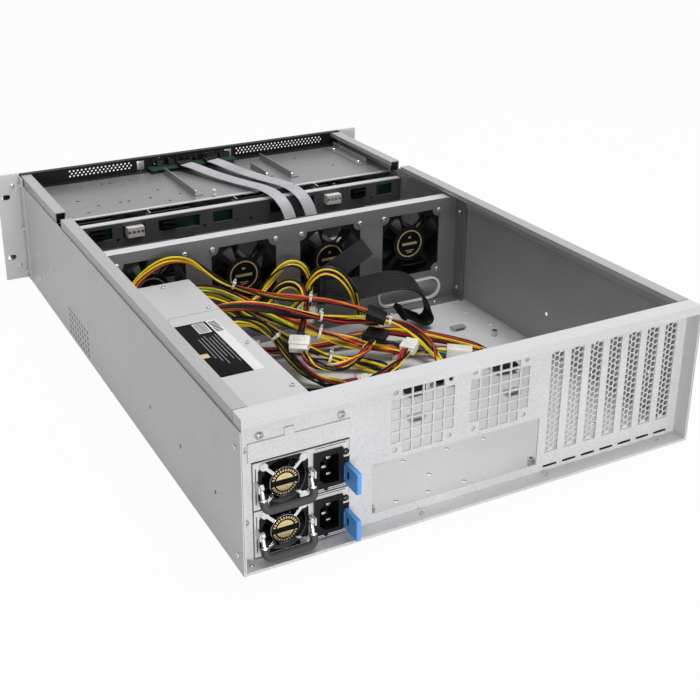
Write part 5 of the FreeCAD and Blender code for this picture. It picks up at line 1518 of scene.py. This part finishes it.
@dataclass(frozen=True)
class FrontPanel:
    """Small things behind the bezel, on the drive cage and on the trays."""

    tags: Place = (64.0, -54.0)
    tag_at: Place = (0.05, 121.5)
    pin_at: Point = (19.6, 133.6, 114.0)
    tray_front: float = -9.0

    TRAYS = 16
    PIN = ((3.0, 0.0), (3.0, 1.0), (1.5, 1.4), (1.5, 5.2), (2.4, 5.6), (2.0, 7.0), (0.4, 7.8))
    LAMP = ((1.1, -0.2), (1.1, 0.3), (0.7, 0.6), (0.02, 0.7))
    LAMP_PLACES = ((5.0, 4.0), (5.0, 7.6))
    LAMP_STEPS = 20
    TAG = (9.0, 11.0, 0.2)
    TAG_RULE = (5.4, 0.9, 0.1)
    TAG_RULES_UP = (-3.0, -0.6, 1.8)

    def build(self) -> None:
        """Add the tags, the nylon pin and the trays' lamps."""
        for number, across in enumerate(self.tags, 1):
            shell = Shell(facing(spot(across, *self.tag_at), REAR))
            shell.block(self.TAG, (0, 0, self.TAG[2] / 2), 0.08)
            for up in self.TAG_RULES_UP:
                shell.block(self.TAG_RULE, (0, up, 0.22), 0.03, 1)
            shell.piece(f"bezel_tag_{number}", (SILVER_FOIL, GREY_INK), CHASSIS)
        shell = Shell(facing(spot(*self.pin_at), UP, REAR))
        shell.turned(self.PIN, (0, 0), 0, SMALL_ROUND)
        shell.piece("cage_pin", (WHITE_NYLON,), CHASSIS)
        for tray in range(1, self.TRAYS + 1):
            self.tray_lamps(f"drive_tray_{tray:02d}", f"tray_lamp_{tray:02d}")

    def tray_lamps(self, tray: str, name: str) -> None:
        """Add the two lamp lenses at the right end of a tray's front.

        Args:
            tray: The tray's node and body.
            name: The piece's name.
        """
        low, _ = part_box(tray)
        corner = Vector((low.x, (self.tray_front - HALF_DEPTH) * MM, low.z))
        shell = Shell(facing(corner, -REAR))
        for place in self.LAMP_PLACES:
            shell.turned(self.LAMP, place, 0, self.LAMP_STEPS)
        shell.piece(name, (LENS,), tray)


@dataclass(frozen=True)
class OpeningShade:
    """Painted shade: dark pieces inside the side vents, the front rails' ends and the slots under the
    covers.
    """

    vent_face: float = 214.7
    vent_at: Place = (194.0, 6.0)
    vent_pitch: Place = (9.6, 6.6)
    vent_count: tuple[int, int] = (8, 5)
    vent_radius: float = 2.28
    vent_thick: float = 0.2
    mouth_at: Point = (207.8, 160.4, 124.4)
    mouth_size: Point = (9.4, 0.4, 10.6)
    tongue_at: Point = (-74.0, 646.1, 6.75)
    tongue_size: Point = (14.2, 0.3, 1.8)
    tongue_pitch: float = 20.32
    tongue_count: int = 7

    def build(self) -> None:
        """Put painted shade in the openings of the rear and of both sides."""
        shell = Shell()
        # Painted shade: dark blocks in the slots under the covers.
        across, along, up = self.tongue_at
        for slot in range(self.tongue_count):
            shell.block(self.tongue_size, (across - slot * self.tongue_pitch, along, up), 0.1)
        shell.piece("slot_tongue_shade", (BLACK_PLASTIC,), CHASSIS)
        for name, side in (("left", 1), ("right", -1)):
            self.side_opening_shade(f"openings_{name}", side)

    def side_opening_shade(self, name: str, side: int) -> None:
        """Put painted shade in the vents and the rail's mouth of one side.

        Args:
            name: The piece's name.
            side: One for the left side seen from the rear, or minus one.
        """
        # Painted shade: dark discs inside the vent holes, then a dark block in the rail's mouth.
        shell = Shell(facing(spot(side * self.vent_face, *self.vent_at), Vector((side, 0, 0))))
        for column in range(self.vent_count[0]):
            for row in range(self.vent_count[1]):
                place = (side * column * self.vent_pitch[0], row * self.vent_pitch[1])
                shell.disc(self.vent_radius, self.vent_thick, place, 0, COARSE_ROUND)
        shell.at = ROW_FRAME
        across, along, up = self.mouth_at
        shell.block(self.mouth_size, (side * across, along, up), 0.1)
        shell.piece(name, (BLACK_PLASTIC,), CHASSIS)


class Carcass:
    """The CAD nodes that show as they are, each with its finish."""

    FINISHES: dict[Finish, str] = {
        TUB_STEEL: "chassis_tray",
        RAIL_STEEL: "side_rails",
        CASE_STEEL: "rack_ears psu_cage psu_case",
        PANEL_STEEL: "rear_panel slot_covers",
        SHADED_WALL_STEEL: "fan_wall",
        SHADED_CAGE_STEEL: "drive_cage",
        BRACKET_STEEL: "backplane_bracket",
        BLACK_COAT: "ear_handles front_bezel",
        BLACK_PLASTIC: "fan_frames fan_rotor psu_rotor psu_inlet backplane_sockets",
        GREY_PLASTIC: "power_button reset_button",
        BLUE_PLASTIC: "psu_latch",
        WHITE_NYLON: "cable_grommet power_headers",
        LOWER_BAIL: "psu_handle_1",
        UPPER_BAIL: "psu_handle_2",
        BRIGHT_WIRE: "psu_guard",
        SCREW_STEEL: "fasteners",
        GREEN_BOARD: "backplane_boards psu_distribution_board",
        PANEL_BOARD: "front_panel_board",
        TRAY_FINISH: "drive_tray",
    }

    def dress(self) -> None:
        """Give each node the finish whose list has the start of its name."""
        for name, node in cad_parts.items():
            for finish, starts in self.FINISHES.items():
                if name.startswith(tuple(starts.split())):
                    node.data.materials.clear()
                    node.data.materials.append(finish.material())
                    LOG.info("node %s in %s", name, finish.title)


@dataclass(frozen=True)
class PhotoCamera:
    """The viewpoint of the photograph, in degrees and pixels. Its place is from mid-depth."""

    azimuth: float = 153.89
    elevation: float = 20.81
    roll: float = -0.55
    focal_px: float = 1115.12
    frame_px: float = 700.0
    axis_px: Place = (-50.0, -100.0)
    place: Point = (475.46, 959.63, 515.21)
    sensor: float = 36.0
    clip: Place = (0.01, 100.0)

    def build(self) -> None:
        """Make the camera and give it to the scene."""
        turn = math.radians(self.azimuth)
        rise = math.radians(self.elevation)
        back = Vector((math.sin(turn) * math.cos(rise), -math.cos(turn) * math.cos(rise), math.sin(rise)))
        data = bpy.data.cameras.new("photo_camera")
        data.sensor_width = self.sensor
        data.lens = self.focal_px / self.frame_px * self.sensor
        data.shift_x = -self.axis_px[0] / self.frame_px
        data.shift_y = self.axis_px[1] / self.frame_px
        data.clip_start, data.clip_end = self.clip
        camera = link("photo_camera", data)
        level = facing(Vector(self.place) * MM, back)
        camera.matrix_world = level @ Matrix.Rotation(math.radians(self.roll), 4, "Z")
        bpy.context.scene.camera = camera


@dataclass(frozen=True)
class Studio:
    """A plain pale floor, a white surround and soft lamps, in metres and watts.

    The surround lights from dim to bright along its lean. The glow is the share of plain white in what
    the camera sees of the floor.
    """

    ambient: Place = (0.0, 0.62)
    lean: Point = (-0.5, 0.35, 0.8)
    aim: Point = (0.0, 0.05, 0.06)
    floor_half: float = 30.0
    floor_drop: float = 0.0004
    floor_glow: float = 0.96

    LAMPS = (
        ("key_lamp", (0.35, 2.3, 0.16), 25.0, (1.0, 0.2)),
        ("top_lamp", (-0.25, 0.25, 2.3), 33.0, (0.9, 0.9)),
    )

    def build(self) -> None:
        """Make the surround, the lamps and the floor."""
        bpy.context.scene.view_settings.view_transform = "Standard"
        self.surround()
        for name, place, power, sides in self.LAMPS:
            self.lamp(name, Vector(place), power, sides)
        self.floor()

    def surround(self) -> None:
        """Make the world white where it is seen and softer as light."""
        world = bpy.data.worlds.new("studio_surround")
        world.use_nodes = True
        graph = Graph(world.node_tree)
        way = graph.node("TexCoord").outputs["Generated"]
        toward = graph.node("VectorMath", way, Vector(self.lean).normalized(), operation="DOT_PRODUCT")
        light = graph.span(toward.outputs["Value"], *self.ambient, start=-1.0)
        strength = graph.either(light, graph.seen_directly())
        graph.feed(graph.tree.nodes["Background"], Color=(1.0, 1.0, 1.0, 1.0), Strength=strength)
        bpy.context.scene.world = world

    def lamp(self, name: str, place: Vector, power: float, sides: Place) -> None:
        """Add one lamp that looks at the middle of the case.

        Args:
            name: The lamp's name.
            place: Its place in metres.
            power: Its power in watts.
            sides: Its width and height in metres.
        """
        data = bpy.data.lights.new(name, "AREA")
        data.shape = "RECTANGLE"
        data.energy = power
        data.size, data.size_y = sides
        made = link(name, data)
        made.location = place
        made.rotation_mode = "QUATERNION"
        made.rotation_quaternion = (Vector(self.aim) - place).to_track_quat("-Z", "Y")

    def floor(self) -> None:
        """Lay the floor just under the case, pale where it is seen and still shaded by the case."""
        half = self.floor_half
        low = CAD_BOX[0].z - self.floor_drop
        data = bpy.data.meshes.new("studio_floor")
        corners = [(-half, -half, low), (half, -half, low), (half, half, low), (-half, half, low)]
        data.from_pydata(corners, [], [(0, 1, 2, 3)])
        recipe = Recipe("pale floor")
        paper = recipe.blend(recipe.grain(3.0), (0.54, 0.54, 0.54), (0.56, 0.56, 0.56))
        recipe.surface(Base_Color=paper, Roughness=0.9)
        share = recipe.span(recipe.seen_directly(), 0.0, self.floor_glow)
        glow = recipe.node("Emission").outputs["Emission"]
        mix = recipe.node("MixShader", share, recipe.shader.outputs["BSDF"], glow)
        recipe.feed(recipe.output, Surface=mix.outputs["Shader"])
        data.materials.append(recipe.material)
        link("studio_floor", data)


def main() -> None:
    """Build the camera, the leads, the dressed case and the studio."""
    logging.basicConfig(level=logging.INFO, format="%(message)s")
    PhotoCamera().build()
    Loom().build()
    Carcass().dress()
    FanWall().build()
    PowerSupply().build()
    FrontPanel().build()
    OpeningShade().build()
    Studio().build()
    bpy.context.view_layer.update()


if __name__ == "__main__":
    main()
